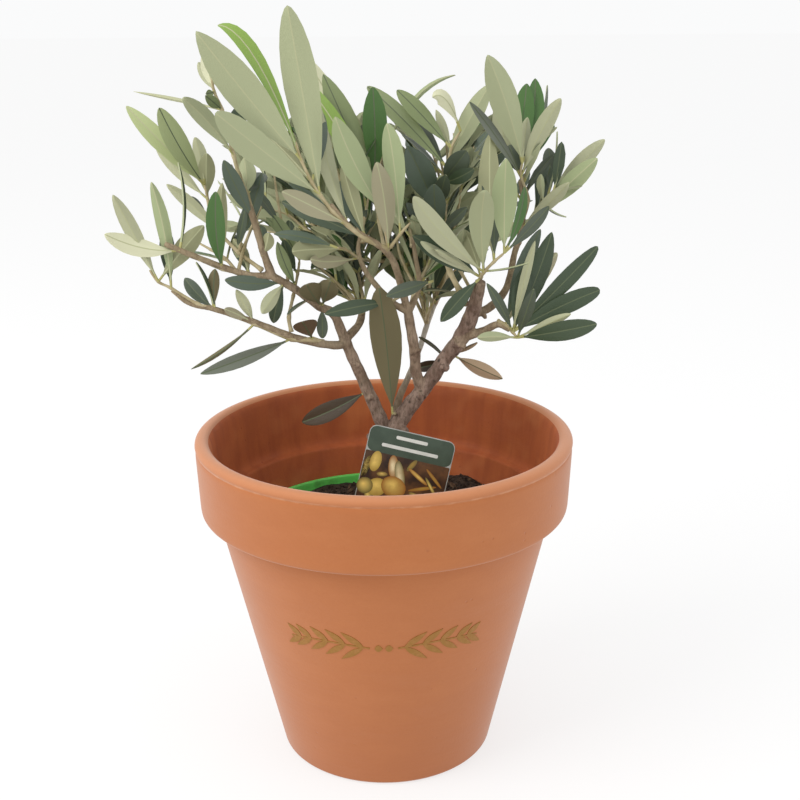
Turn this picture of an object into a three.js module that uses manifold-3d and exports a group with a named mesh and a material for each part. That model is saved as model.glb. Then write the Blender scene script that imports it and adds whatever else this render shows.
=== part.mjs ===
// Potted olive tree: a young, bushy olive in its green nursery pot, stood inside a terracotta
// flower pot. Millimetres, +Z up, the origin at the centre of the pot's flat underside,
// -Y towards the side on which the plant label stands.
import * as THREE from "three";
import { mergeVertices } from "three/addons/utils/BufferGeometryUtils.js";
import Module from "manifold-3d";

const wasm = await Module();
wasm.setup();

// ---- driving sizes ----------------------------------------------------------------------
const GAP = 0.35; // air left between parts that touch in the real plant
const SLIVER = 0.12; // facets thinner than this, left where two parts were cut, are merged away

const POT_HEIGHT = 152; // terracotta pot, foot to lip
const POT_FOOT_RADIUS = 49.4;
const POT_BODY_TOP_RADIUS = 76.1; // where the body meets the rim band
const POT_BAND_BOTTOM = 118; // height of the rim band's lower edge
const POT_BAND_RADIUS = 83.2;
const POT_LIP_RADIUS = 85;
const POT_FLOOR = 8; // thickness of the pot's floor
const POT_WELL_RADIUS = 44.5; // inside, just above the floor
const POT_LEDGE_RADIUS = 70.6; // inside, at the ledge below the rim
const POT_MOUTH_RADIUS = 77.6;
const POT_SIDES = 42;

const NURSERY_TOP = 106.8; // green plastic pot that stands on the terracotta floor
const NURSERY_RIM_RADIUS = 66.6;
const NURSERY_WALL = 1;
const NURSERY_FOOT_RADIUS = 41.5;
const NURSERY_SIDES = 32;

const SOIL_LEVEL = 103.4; // flat patch of compost round the trunk
const SOIL_EDGE_DROP = 2.4; // the compost sinks towards the wall

const LABEL_WIDTH = 38;
const LABEL_HEIGHT = 56; // above the compost, along the card
const LABEL_STAKE = 26; // pointed part pushed into the compost
const LABEL_THICKNESS = 0.9;
const LABEL_FOOT = [0.3, -31]; // where it enters the compost
const LABEL_TILT = 13.5; // degrees, turned clockwise as seen from the front
const LABEL_LEAN = 12; // degrees, tipped back towards the trunk

// ---- helpers ----------------------------------------------------------------------------
const group = new THREE.Group();
const EAST = new THREE.Vector3(1, 0, 0);
const NORTH = new THREE.Vector3(0, 1, 0);

function slot(color, roughness) {
  return { color, roughness };
}

const TERRACOTTA = slot(0xb9744b, 0.8);
const GREEN_PLASTIC = slot(0x3e9a45, 0.55);
const COMPOST = slot(0x3a2c22, 1);
const CARD = slot(0x3c4a3c, 0.5);
const BARK = slot(0x7d6856, 0.85);
const LEAVES = slot(0x7f9170, 0.7);

function add(name, geometry, finish) {
  const material = new THREE.MeshStandardMaterial({ color: finish.color, roughness: finish.roughness });
  material.name = name;
  const mesh = new THREE.Mesh(geometry, material);
  mesh.name = name;
  group.add(mesh);
}

function toSolid(geometry) {
  const bare = geometry.clone();
  bare.deleteAttribute("normal");
  bare.deleteAttribute("uv");
  const welded = mergeVertices(bare, 1e-4);
  return new wasm.Manifold(new wasm.Mesh({
    numProp: 3,
    vertProperties: welded.attributes.position.array,
    triVerts: new Uint32Array(welded.index.array),
  }));
}

function toGeometry(solid) {
  const mesh = solid.simplify(SLIVER).getMesh();
  const geometry = new THREE.BufferGeometry();
  geometry.setAttribute("position", new THREE.BufferAttribute(mesh.vertProperties, 3));
  geometry.setIndex(new THREE.BufferAttribute(mesh.triVerts, 1));
  const flat = geometry.toNonIndexed();
  flat.computeVertexNormals();
  return flat;
}

// The piece of a cut solid that holds the point nearest to `root`; offcuts are dropped.
function pieceAt(solid, root) {
  let best = null;
  let bestDistance = Infinity;
  for (const piece of solid.decompose()) {
    const data = piece.getMesh();
    for (let i = 0; i < data.vertProperties.length; i += 3) {
      const distance = Math.hypot(
        data.vertProperties[i] - root.x,
        data.vertProperties[i + 1] - root.y,
        data.vertProperties[i + 2] - root.z,
      );
      if (distance < bestDistance) {
        bestDistance = distance;
        best = piece;
      }
    }
  }
  return best;
}

// A body of revolution about +Z from [radius, height] pairs that start and end on the axis.
function turned(profile, sides) {
  const points = profile.map(([r, z]) => new THREE.Vector2(r, z));
  const geometry = new THREE.LatheGeometry(points, sides);
  geometry.rotateX(Math.PI / 2);
  return geometry;
}

// Closed skin over rings of equal count, with one point closing each end.
function skinned(rings, firstPoint, lastPoint) {
  const sides = rings[0].length;
  const positions = [];
  const index = [];
  for (const ring of rings) {
    for (const p of ring) {
      positions.push(p.x, p.y, p.z);
    }
  }
  positions.push(firstPoint.x, firstPoint.y, firstPoint.z);
  positions.push(lastPoint.x, lastPoint.y, lastPoint.z);
  const first = rings.length * sides;
  for (let j = 0; j < sides; j++) {
    const k = (j + 1) % sides;
    for (let i = 0; i + 1 < rings.length; i++) {
      const a = i * sides;
      const b = a + sides;
      index.push(a + j, a + k, b + k, a + j, b + k, b + j);
    }
    const last = (rings.length - 1) * sides;
    index.push(first, k, j);
    index.push(first + 1, last + j, last + k);
  }
  const geometry = new THREE.BufferGeometry();
  geometry.setAttribute("position", new THREE.Float32BufferAttribute(positions, 3));
  geometry.setIndex(index);
  return geometry;
}

// Two unit vectors square to `along`, the first as level as it can be.
function across(along) {
  const up = Math.abs(along.z) > 0.97 ? new THREE.Vector3(0, 1, 0) : new THREE.Vector3(0, 0, 1);
  const side = new THREE.Vector3().crossVectors(up, along).normalize();
  const lift = new THREE.Vector3().crossVectors(along, side).normalize();
  return [side, lift];
}

function ringAt(centre, side, lift, halfWidth, halfDepth, sides) {
  const ring = [];
  for (let j = 0; j < sides; j++) {
    const angle = (2 * Math.PI * j) / sides;
    const p = centre.clone();
    p.addScaledVector(side, halfWidth * Math.cos(angle));
    p.addScaledVector(lift, halfDepth * Math.sin(angle));
    ring.push(p);
  }
  return ring;
}

// A woody limb through `points`, tapering from `thick` to `thin` (radii); `grow` fattens it all
// round so that the same limb can cut its own clearance out of a neighbour.
function limbSolid({ points, thick, thin, flare = 0, sides = 6 }, grow = 0) {
  const curve = new THREE.CatmullRomCurve3(points.map((p) => new THREE.Vector3(...p)));
  const count = Math.max(4, Math.round(curve.getLength() / 11));
  const rings = [];
  const flatFoot = flare > 0;
  for (let i = 0; i <= count; i++) {
    const t = i / count;
    const along = curve.getTangentAt(t);
    if (flatFoot && i === 0) {
      along.set(0, 0, 1);
    }
    const [side, lift] = across(along);
    const radius = THREE.MathUtils.lerp(thick, thin, t) + flare * Math.exp(-7 * t) + grow;
    rings.push(ringAt(curve.getPointAt(t), side, lift, radius, radius, sides));
  }
  const start = curve.getPointAt(0);
  const end = curve.getPointAt(1);
  if (!flatFoot) {
    start.addScaledVector(curve.getTangentAt(0), -0.3 - grow);
  }
  end.addScaledVector(curve.getTangentAt(1), 0.5 * thin + grow);
  return toSolid(skinned(rings, start, end));
}

// Stations of a lobe: share of the way to the tip, then share of the full breadth there.
const FULL_LEAF = [[0.05, 0.55], [0.45, 1], [0.82, 0.72]];
const PLAIN_LEAF = [[0.12, 0.6], [0.62, 1]];

// One flattened, pointed lobe of a leaf mass, from the mass's heart to a leaf tip.
function lobeSolid(heart, tip, { breadth, depth, stations = FULL_LEAF }, grow) {
  const from = new THREE.Vector3(...heart);
  const to = new THREE.Vector3(...tip);
  const along = to.clone().sub(from);
  const length = along.length();
  along.normalize();
  const [side, lift] = across(along);
  const rings = [];
  for (const [t, share] of stations) {
    const centre = from.clone().addScaledVector(along, t * length);
    centre.addScaledVector(lift, 0.05 * length * Math.sin(Math.PI * t));
    const half = 0.5 * share;
    rings.push(ringAt(centre, side, lift, half * breadth + grow, half * depth + grow, 4));
  }
  const start = from.clone().addScaledVector(along, -0.12 * breadth - grow);
  const end = to.clone().addScaledVector(along, grow);
  return toSolid(skinned(rings, start, end));
}

function massSolid(mass, grow = 0) {
  let solid = null;
  for (const tip of mass.tips) {
    const lobe = lobeSolid(mass.heart, tip, mass, grow);
    solid = solid === null ? lobe : solid.add(lobe);
  }
  return solid;
}

// ---- terracotta pot ---------------------------------------------------------------------
// Straight-tapered body, a deep band round the rim, a rounded lip and a ledge inside the rim.
const band = POT_BAND_BOTTOM;
const potProfile = [
  [0, 0],
  [POT_FOOT_RADIUS - 1.6, 0],
  [POT_FOOT_RADIUS, 1.6],
  [POT_BODY_TOP_RADIUS, band],
  [POT_BAND_RADIUS - 1.8, band + 0.1],
  [POT_BAND_RADIUS - 0.4, band + 0.9],
  [POT_BAND_RADIUS, band + 2.6],
  [POT_LIP_RADIUS - 0.3, POT_HEIGHT - 7.2],
  [POT_LIP_RADIUS - 0.8, POT_HEIGHT - 5.6],
  [POT_LIP_RADIUS, POT_HEIGHT - 3.4],
  [POT_LIP_RADIUS - 0.9, POT_HEIGHT - 1],
  [POT_LIP_RADIUS - 3, POT_HEIGHT],
  [POT_MOUTH_RADIUS + 2, POT_HEIGHT - 0.6],
  [POT_MOUTH_RADIUS + 0.3, POT_HEIGHT - 2.6],
  [POT_MOUTH_RADIUS - 0.4, POT_HEIGHT - 6],
  [POT_LEDGE_RADIUS + 4.6, band + 6],
  [POT_LEDGE_RADIUS + 3.2, band + 3.4],
  [POT_LEDGE_RADIUS + 0.6, band + 2.4],
  [POT_LEDGE_RADIUS, band],
  [POT_WELL_RADIUS, POT_FLOOR + 2],
  [POT_WELL_RADIUS - 1.8, POT_FLOOR],
  [0, POT_FLOOR],
];
add("terracotta_pot", turned(potProfile, POT_SIDES), TERRACOTTA);

// ---- nursery pot ------------------------------------------------------------------------
const nurseryFoot = POT_FLOOR + GAP;
const nurseryInside = NURSERY_RIM_RADIUS - 1.2 - NURSERY_WALL;
const nurseryProfile = [
  [0, nurseryFoot],
  [NURSERY_FOOT_RADIUS, nurseryFoot],
  [NURSERY_RIM_RADIUS - 1.4, NURSERY_TOP - 4.4],
  [NURSERY_RIM_RADIUS, NURSERY_TOP - 4.2],
  [NURSERY_RIM_RADIUS, NURSERY_TOP - 0.5],
  [NURSERY_RIM_RADIUS - 0.6, NURSERY_TOP],
  [nurseryInside + 0.2, NURSERY_TOP],
  [nurseryInside, NURSERY_TOP - 4.4],
  [NURSERY_FOOT_RADIUS - NURSERY_WALL, nurseryFoot + NURSERY_WALL],
  [0, nurseryFoot + NURSERY_WALL],
];
add("nursery_pot", turned(nurseryProfile, NURSERY_SIDES), GREEN_PLASTIC);

// ---- plant label ------------------------------------------------------------------------
function labelSolid(grow) {
  const half = LABEL_WIDTH / 2 + grow;
  const top = LABEL_HEIGHT + grow;
  const corner = 4;
  const outline = new THREE.Shape();
  outline.moveTo(0, -LABEL_STAKE - 2 * grow);
  outline.lineTo(half, -LABEL_STAKE + 14);
  outline.lineTo(half, top - corner);
  outline.lineTo(half - 1.2, top - 1.2);
  outline.lineTo(half - corner, top);
  outline.lineTo(corner - half, top);
  outline.lineTo(1.2 - half, top - 1.2);
  outline.lineTo(-half, top - corner);
  outline.lineTo(-half, -LABEL_STAKE + 14);
  outline.closePath();
  const depth = LABEL_THICKNESS + 2 * grow;
  const card = new THREE.ExtrudeGeometry(outline, { depth, bevelEnabled: false });
  card.translate(0, 0, -depth / 2);
  card.rotateZ(THREE.MathUtils.degToRad(-LABEL_TILT));
  card.rotateX(THREE.MathUtils.degToRad(90 - LABEL_LEAN));
  card.translate(LABEL_FOOT[0], LABEL_FOOT[1], SOIL_LEVEL);
  return toSolid(card);
}
add("plant_label", toGeometry(labelSolid(0)), CARD);

// ---- compost ----------------------------------------------------------------------------
// Fills the nursery pot; lumpy on top, flat where the trunk rises, slit where the label stands.
const compostRadius = (z) => {
  const foot = nurseryFoot + NURSERY_WALL;
  const share = (z - foot) / (NURSERY_TOP - 4.4 - foot);
  return THREE.MathUtils.lerp(NURSERY_FOOT_RADIUS - NURSERY_WALL, nurseryInside, share) - GAP;
};
const compostSides = NURSERY_SIDES / 2;
const compostShape = [[nurseryFoot + NURSERY_WALL + GAP, 1], [SOIL_LEVEL - 3.2, 1]];
const surfaceShares = [0.86, 0.64, 0.42, 0.22];
const compostRings = compostShape.map(([z, share]) => {
  const centre = new THREE.Vector3(0, 0, z);
  const radius = compostRadius(z) * share;
  return ringAt(centre, EAST, NORTH, radius, radius, compostSides);
});
for (const share of surfaceShares) {
  const ring = [];
  const radius = compostRadius(SOIL_LEVEL - 3.2) * share;
  for (let j = 0; j < compostSides; j++) {
    const angle = (2 * Math.PI * j) / compostSides;
    const lump = 0.5 * Math.sin(5 * angle + 9 * share) + 0.4 * Math.sin(11 * angle - 7 * share);
    const sink = share > 0.3 ? SOIL_EDGE_DROP * share * share - 0.7 * lump + 0.6 : 0;
    ring.push(new THREE.Vector3(radius * Math.cos(angle), radius * Math.sin(angle), SOIL_LEVEL - sink));
  }
  compostRings.push(ring);
}
const compostFoot = new THREE.Vector3(0, 0, compostShape[0][0]);
const compostCrown = new THREE.Vector3(0, 0, SOIL_LEVEL);
const compost = toSolid(skinned(compostRings, compostFoot, compostCrown));
add("compost", toGeometry(compost.subtract(labelSolid(GAP))), COMPOST);

// ---- leaf masses ------------------------------------------------------------------------
// Each mass is one clump of leaves on its own shoot: `heart` is where the shoot enters it and
// `tips` are the ends of its outermost leaves; breadth and depth are those of one lobe.
const masses = {
  leading_leaves: {
    heart: [-24, -33, 264],
    tips: [
      [-34, -40, 334], [-67, -52, 325], [-62, -30, 327], [-60, -60, 296], [-38, -48, 265],
      [-41, -16, 257],
    ],
    breadth: 16,
    depth: 8,
  },
  upper_left_leaves: {
    heart: [-67, -12, 276],
    tips: [
      [-106, 0, 295], [-90, -12, 297], [-77, -28, 301], [-106, 14, 300], [-74, -6, 312],
      [-78, 6, 270],
    ],
    breadth: 15,
    depth: 9,
    stations: PLAIN_LEAF,
  },
  left_tip_leaves: {
    heart: [-90, -26, 226],
    tips: [
      [-112, -30, 246], [-106, -38, 261], [-93, -28, 267], [-74, -34, 249], [-91, -6, 245],
    ],
    breadth: 12,
    depth: 9,
  },
  left_middle_leaves: {
    heart: [-66, -22, 236],
    tips: [
      [-65, -34, 264], [-60, -22, 265], [-88, 2, 263], [-84, 12, 276], [-56, -2, 244],
      [-83, -15, 272],
    ],
    breadth: 12,
    depth: 9,
    stations: PLAIN_LEAF,
  },
  inner_left_leaves: {
    heart: [-54, -14, 248],
    tips: [[-61, -24, 277], [-54, -4, 278], [-46, 8, 269], [-44, -4, 252]],
    breadth: 11,
    depth: 8,
    stations: PLAIN_LEAF,
  },
  low_left_leaves: {
    heart: [-45, -20, 203],
    tips: [[-80, -26, 188], [-74, -36, 186], [-54, -28, 192]],
    breadth: 7,
    depth: 5,
  },
  inner_leaves: {
    heart: [-28, 2, 222],
    tips: [
      [-45, -2, 247], [-32, 6, 245], [-6, -4, 232], [-26, 26, 240], [-50, 12, 232],
      [-31, -20, 212], [-52, -6, 220],
    ],
    breadth: 16,
    depth: 12,
    stations: PLAIN_LEAF,
  },
  centre_leaves: {
    heart: [20, 4, 222],
    tips: [
      [31, 10, 246], [33, -12, 236], [2, 6, 236], [16, 26, 244], [34, 18, 228],
      [24, -18, 212], [8, -10, 222],
    ],
    breadth: 15,
    depth: 12,
    stations: PLAIN_LEAF,
  },
  upper_middle_leaves: {
    heart: [-6, -8, 246],
    tips: [
      [-26, -20, 301], [-17, -34, 292], [-24, 8, 307], [-30, 18, 313], [-14, 22, 293],
      [-26, 12, 268],
    ],
    breadth: 16,
    depth: 10,
    stations: PLAIN_LEAF,
  },
  top_middle_leaves: {
    heart: [12, -4, 240],
    tips: [
      [-3, 0, 302], [1, -16, 289], [0, -36, 275], [12, -12, 279], [7, 26, 299],
      [16, 12, 284],
    ],
    breadth: 17,
    depth: 10,
    stations: PLAIN_LEAF,
  },
  upper_right_leaves: {
    heart: [27, 20, 254],
    tips: [
      [33, 34, 305], [26, 12, 299], [47, 20, 303], [14, 36, 286], [37, 2, 294],
      [44, 34, 280],
    ],
    breadth: 15,
    depth: 10,
    stations: PLAIN_LEAF,
  },
  front_right_leaves: {
    heart: [42, -19, 231],
    tips: [
      [13, -46, 263], [41, -44, 266], [51, -33, 277], [23, -16, 263], [46, -1, 284],
      [34, -36, 246],
    ],
    breadth: 14,
    depth: 9,
  },
  right_crown_leaves: {
    heart: [60, 8, 268],
    tips: [[44, -16, 314], [67, 22, 304], [73, -6, 298], [51, 16, 294]],
    breadth: 14,
    depth: 9,
  },
  outer_right_leaves: {
    heart: [69, 12, 247],
    tips: [
      [96, 12, 280], [90, -6, 272], [74, 24, 268], [79, 30, 282], [80, -14, 262],
      [62, -10, 262],
    ],
    breadth: 14,
    depth: 9,
    stations: PLAIN_LEAF,
  },
  low_right_leaves: {
    heart: [57, -13, 202],
    tips: [
      [93, -8, 237], [95, -12, 218], [91, -30, 207], [74, 6, 240], [66, 14, 240],
      [40, -24, 199],
    ],
    breadth: 13,
    depth: 9,
  },
  back_left_leaves: {
    heart: [-34, 44, 240],
    tips: [
      [-78, 62, 262], [-58, 80, 276], [-28, 84, 262], [-42, 60, 292], [-68, 40, 288],
      [-60, 52, 236], [-8, 60, 270],
    ],
    breadth: 19,
    depth: 13,
    stations: PLAIN_LEAF,
  },
  back_right_leaves: {
    heart: [36, 46, 226],
    tips: [
      [72, 62, 246], [40, 86, 238], [70, 52, 268], [34, 70, 278], [52, 60, 286],
      [8, 74, 252], [62, 34, 232],
    ],
    breadth: 19,
    depth: 13,
    stations: PLAIN_LEAF,
  },
  low_right_leaf: {
    heart: [35, 4, 184],
    tips: [[54, 8, 173]],
    breadth: 9,
    depth: 4,
  },
  hanging_leaf: {
    heart: [4, -10, 166],
    tips: [[0, -17, 214]],
    breadth: 13,
    depth: 4,
  },
  drooping_leaf: {
    heart: [-10, 9, 166],
    tips: [[-38, 14, 151]],
    breadth: 10,
    depth: 4,
  },
};

const clearances = [];
for (const [name, mass] of Object.entries(masses)) {
  let solid = massSolid(mass);
  for (const other of clearances) {
    solid = solid.subtract(other);
  }
  solid = pieceAt(solid, new THREE.Vector3(...mass.heart));
  mass.solid = solid;
  clearances.push(massSolid(mass, GAP));
}

// ---- trunk and boughs -------------------------------------------------------------------
// Listed from the thickest; each limb is trimmed back to the ones before it and ends at the
// leaf mass it enters. A short trunk forks just above the pot's rim.
const limbs = {
  trunk: {
    points: [[2, 3, SOIL_LEVEL + GAP], [1, 2, 120], [2, 1, 137], [3, 0, 152]],
    thick: 7.6,
    thin: 6.6,
    flare: 3.4,
    sides: 11,
  },
  right_bough: {
    points: [
      [3, 0, 149], [9, 0, 159], [14, 0, 166], [21, 0, 175], [28, -1, 186], [34, -2, 194],
      [39, -6, 207], [42, -12, 222],
    ],
    thick: 5.5,
    thin: 3,
    sides: 9,
  },
  left_bough: {
    points: [[1, 0, 147], [-1, -1, 156], [-9, -2, 176], [-14, -3, 188], [-17, -4, 196]],
    thick: 3.7,
    thin: 2.7,
  },
  middle_bough: {
    points: [[17, 0, 171], [14.5, -2, 180], [14, -4, 189], [12, -6, 202], [11, -7, 209]],
    thick: 3,
    thin: 2.3,
  },
  back_bough: {
    points: [
      [4, 2, 150], [7, 8, 164], [12, 14, 174], [17, 22, 185], [20, 28, 193], [24, 34, 202],
      [30, 40, 212],
    ],
    thick: 2.6,
    thin: 1.7,
  },
  upper_left_bough: {
    points: [[-17, -4, 196], [-21, -7, 207], [-27, -9, 211], [-36, -13, 219], [-46, -17, 226]],
    thick: 2.4,
    thin: 1.9,
  },
  low_left_bough: {
    points: [
      [-15, -3, 193], [-22, -8, 193.5], [-37, -13, 198], [-55, -19, 207], [-70, -22, 213],
      [-80, -24, 216], [-87, -25, 222],
    ],
    thick: 2.2,
    thin: 1.1,
  },
  inner_left_bough: {
    points: [[-16, -3, 195], [-10, 5, 201], [-10, 16, 210], [-18, 26, 220], [-28, 36, 232]],
    thick: 2,
    thin: 1.3,
  },
  leading_shoot: {
    points: [
      [11, -7, 209], [9, -11, 217], [5, -18, 232], [-1, -24, 240], [-12, -29, 248],
      [-20, -32, 258],
    ],
    thick: 2,
    thin: 1.5,
    sides: 5,
  },
  middle_left_shoot: {
    points: [[11, -7, 208], [4, -9, 213], [-6, -6, 224], [-10, -4, 234], [-8, -6, 244]],
    thick: 1.7,
    thin: 1.1,
    sides: 5,
  },
  middle_right_shoot: {
    points: [[12, -7, 209], [16, -2, 218], [15, -3, 228], [13, -4, 240]],
    thick: 1.6,
    thin: 1,
    sides: 5,
  },
  upper_left_shoot: {
    points: [[-46, -17, 226], [-49, -18, 236], [-55, -18, 258], [-63, -15, 272]],
    thick: 1.7,
    thin: 1,
    sides: 5,
  },
  outer_left_shoot: {
    points: [
      [-46, -17, 226], [-55, -20, 227], [-66, -22, 231], [-76, -26, 236], [-88, -29, 242],
    ],
    thick: 1.7,
    thin: 1.1,
    sides: 5,
  },
  outer_right_bough: {
    points: [[38, -5, 206], [47, 0, 208], [55, 6, 216], [59, 11, 232], [65, 12, 243]],
    thick: 2.2,
    thin: 1.5,
  },
  right_crown_shoot: {
    points: [[60, 11, 234], [62, 12, 247], [60, 9, 262]],
    thick: 1.4,
    thin: 1,
    sides: 5,
  },
  low_right_shoot: {
    points: [[36, -3, 199], [47, -7, 201], [55, -12, 201]],
    thick: 1.9,
    thin: 1.3,
    sides: 5,
  },
  upper_right_shoot: {
    points: [[24, 34, 202], [25, 28, 222], [27, 22, 244]],
    thick: 1.5,
    thin: 1,
    sides: 5,
  },
};

const grownLimbs = [];
for (const [name, limb] of Object.entries(limbs)) {
  const root = new THREE.Vector3(...limb.points[0]);
  root.lerp(new THREE.Vector3(...limb.points[1]), 0.6);
  let solid = limbSolid(limb);
  for (const other of [...grownLimbs, ...clearances]) {
    solid = solid.subtract(other);
  }
  add(name, toGeometry(pieceAt(solid, root)), BARK);
  grownLimbs.push(limbSolid(limb, GAP));
}

for (const [name, mass] of Object.entries(masses)) {
  add(name, toGeometry(mass.solid), LEAVES);
}

export default group;
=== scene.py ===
import math

import bpy
import numpy as np
from mathutils import Matrix, Vector, noise


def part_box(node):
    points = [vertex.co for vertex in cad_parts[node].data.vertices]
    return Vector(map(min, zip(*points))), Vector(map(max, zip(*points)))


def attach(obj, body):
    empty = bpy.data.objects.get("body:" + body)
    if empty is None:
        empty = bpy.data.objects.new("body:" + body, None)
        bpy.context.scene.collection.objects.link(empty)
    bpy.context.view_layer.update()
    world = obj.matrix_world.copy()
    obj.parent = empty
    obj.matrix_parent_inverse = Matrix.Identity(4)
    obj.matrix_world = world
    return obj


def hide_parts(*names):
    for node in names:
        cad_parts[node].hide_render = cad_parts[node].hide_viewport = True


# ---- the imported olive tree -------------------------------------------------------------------
# The solids of the pot, the compost, the label, the limbs and the leaf masses, in metres. The
# meshes below are set out in millimetres, as on a drawing, and turned to metres by MM; lights,
# the camera, materials, node trees and modifiers are in metres.
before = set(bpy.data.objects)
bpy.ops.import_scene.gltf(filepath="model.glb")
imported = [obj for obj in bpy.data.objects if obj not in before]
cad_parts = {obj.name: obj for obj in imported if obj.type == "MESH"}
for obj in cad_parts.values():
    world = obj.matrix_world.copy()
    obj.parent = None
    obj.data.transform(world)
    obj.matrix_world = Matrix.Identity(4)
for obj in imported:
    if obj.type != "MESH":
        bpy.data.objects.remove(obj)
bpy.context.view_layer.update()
MM = 0.001

# ---- studio ----------------------------------------------------------------------------------
# A near-white table that runs back out of sight, under a large soft light from the upper left,
# a weaker one from the right and a bright even surround. The table glows a little, so that it
# stays near-white beside the pot.
scene = bpy.context.scene
scene.view_settings.view_transform = "Standard"

world = bpy.data.worlds.new("bright_surround")
world.use_nodes = True
world.node_tree.nodes["Background"].inputs["Color"].default_value = (0.995, 0.998, 1.0, 1.0)
world.node_tree.nodes["Background"].inputs["Strength"].default_value = 0.965
scene.world = world


def soft_light(name, place, aim, size, power, colour):
    """A square area light at place, facing aim, in metres and watts."""
    data = bpy.data.lights.new(name, "AREA")
    data.size = size
    data.energy = power
    data.color = colour
    light = bpy.data.objects.new(name, data)
    turn = (Vector(aim) - Vector(place)).to_track_quat("-Z", "Y")
    light.matrix_world = Matrix.Translation(place) @ turn.to_matrix().to_4x4()
    scene.collection.objects.link(light)


def new_finish(name, roughness=0.5):
    """A new material, its node tree and its shader."""
    finish = bpy.data.materials.new(name)
    finish.use_nodes = True
    shader = finish.node_tree.nodes["Principled BSDF"]
    shader.inputs["Roughness"].default_value = roughness
    return finish, finish.node_tree, shader


soft_light("key_light", (-1.0, -0.55, 0.95), (0, 0, 0.17), 0.9, 11.0, (1.0, 0.985, 0.96))
soft_light("fill_light", (1.1, -0.5, 0.7), (0, 0, 0.15), 1.0, 2.6, (0.97, 0.98, 1.0))

table_mesh = bpy.data.meshes.new("table_top")
table_reach = 30.0
table_corners = [(x * table_reach, y * table_reach, 0) for x, y in ((-1, -1), (1, -1), (1, 1), (-1, 1))]
table_mesh.from_pydata(table_corners, [], [(0, 1, 2, 3)])
table_top = bpy.data.objects.new("table_top", table_mesh)
scene.collection.objects.link(table_top)
table_finish, _, table_shader = new_finish("table_top", 0.8)
table_shader.inputs["Base Color"].default_value = (0.3, 0.3, 0.3, 1)
table_shader.inputs["Specular IOR Level"].default_value = 0.0
table_shader.inputs["Emission Color"].default_value = (1, 1, 1, 1)
table_shader.inputs["Emission Strength"].default_value = 0.66
table_mesh.materials.append(table_finish)

camera_data = bpy.data.cameras.new("camera")
camera_data.sensor_width = 36.0
camera_data.lens = 55.0
camera_data.clip_start = 0.01
camera = bpy.data.objects.new("camera", camera_data)
camera_at = (0.0074, -0.5234, 0.3278)
camera_tip = Matrix.Rotation(math.radians(72.8), 4, "X")
camera_roll = Matrix.Rotation(-0.007, 4, "Z")
camera.matrix_world = Matrix.Translation(camera_at) @ camera_tip @ camera_roll
scene.collection.objects.link(camera)
scene.camera = camera


# ---- terracotta pot --------------------------------------------------------------------------
# A machine-pressed clay pot, fired unglazed: a plain taper, a deep rim band with a shallow
# groove under a rounded lip, and a ledge inside. Fine-grained, with dust and a few pits, and
# old water marks inside.
def plain_object(name, points, faces, finishes, finish_of_face=None, smooth=True):
    """A mesh object from points in millimetres, its faces dealt out to the finishes."""
    mesh = bpy.data.meshes.new(name)
    mesh.from_pydata([tuple(p) for p in np.asarray(points) * MM], [], faces)
    for finish in finishes:
        mesh.materials.append(finish)
    if finish_of_face is not None:
        mesh.polygons.foreach_set("material_index", finish_of_face)
    mesh.polygons.foreach_set("use_smooth", [smooth] * len(mesh.polygons))
    mesh.update()
    thing = bpy.data.objects.new(name, mesh)
    scene.collection.objects.link(thing)
    return thing


def softened(profile, steps=3, longest_cut=1.2):
    """The profile with each corner cut back `steps` times, so that it turns in a small curve."""
    line = [np.array(p, float) for p in profile]
    for _ in range(steps):
        cut = [line[0]]
        for a, b in zip(line[1:-1], line[2:]):
            span = np.linalg.norm(b - a)
            share = min(0.25, longest_cut / max(span, 0.01))
            first = a + share * (b - a) if len(cut) > 1 else a
            cut += [first, b - share * (b - a)]
        line = cut[:-1] + [line[-2], line[-1]]
    return line


def turned(name, profile, sides, finishes, inside_from=math.inf, wobble=0.0):
    """A closed body of revolution whose profile starts and ends on the axis.

    From the ring numbered inside_from on, it has the second of its finishes.
    """
    rings = profile[1:-1]
    angles = np.linspace(0, 2 * math.pi, sides, endpoint=False)
    points = []
    for r, z in rings:
        sway = 1 + wobble * np.sin(2 * angles + 0.02 * z) + 0.4 * wobble * np.sin(3 * angles + 1.1)
        points += [(r * s * math.cos(a), r * s * math.sin(a), z) for a, s in zip(angles, sway)]
    points += [(0, 0, profile[0][1]), (0, 0, profile[-1][1])]
    first = len(points) - 2
    last = (len(rings) - 1) * sides
    faces, slots = [], []
    for j in range(sides):
        k = (j + 1) % sides
        for i in range(len(rings) - 1):
            a, b = i * sides, (i + 1) * sides
            faces.append((a + j, a + k, b + k, b + j))
            slots.append(int(i >= inside_from))
        faces.append((first, k, j))
        faces.append((first + 1, last + j, last + k))
        slots += [0, int(len(rings) > inside_from)]
    return plain_object(name, points, faces, finishes, slots)


def own_place(tree):
    """Where a point of the surface is on its own object."""
    return tree.nodes.new("ShaderNodeTexCoord").outputs["Object"]


def add_relief(tree, shader, height, strength, distance):
    """Makes the surface look raised by the height, which spans `distance` metres."""
    bump = tree.nodes.new("ShaderNodeBump")
    bump.inputs["Strength"].default_value = strength
    bump.inputs["Distance"].default_value = distance
    tree.links.new(height, bump.inputs["Height"])
    tree.links.new(bump.outputs["Normal"], shader.inputs["Normal"])


def effect(name, inputs, outputs):
    """An empty shader node group with the named inputs and outputs."""
    tree = bpy.data.node_groups.new(name, "ShaderNodeTree")
    for label, kind, value in inputs:
        socket = tree.interface.new_socket(label, in_out="INPUT", socket_type=kind)
        socket.default_value = value
    for label, kind in outputs:
        tree.interface.new_socket(label, in_out="OUTPUT", socket_type=kind)
    return tree, tree.nodes.new("NodeGroupInput"), tree.nodes.new("NodeGroupOutput")


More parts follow.
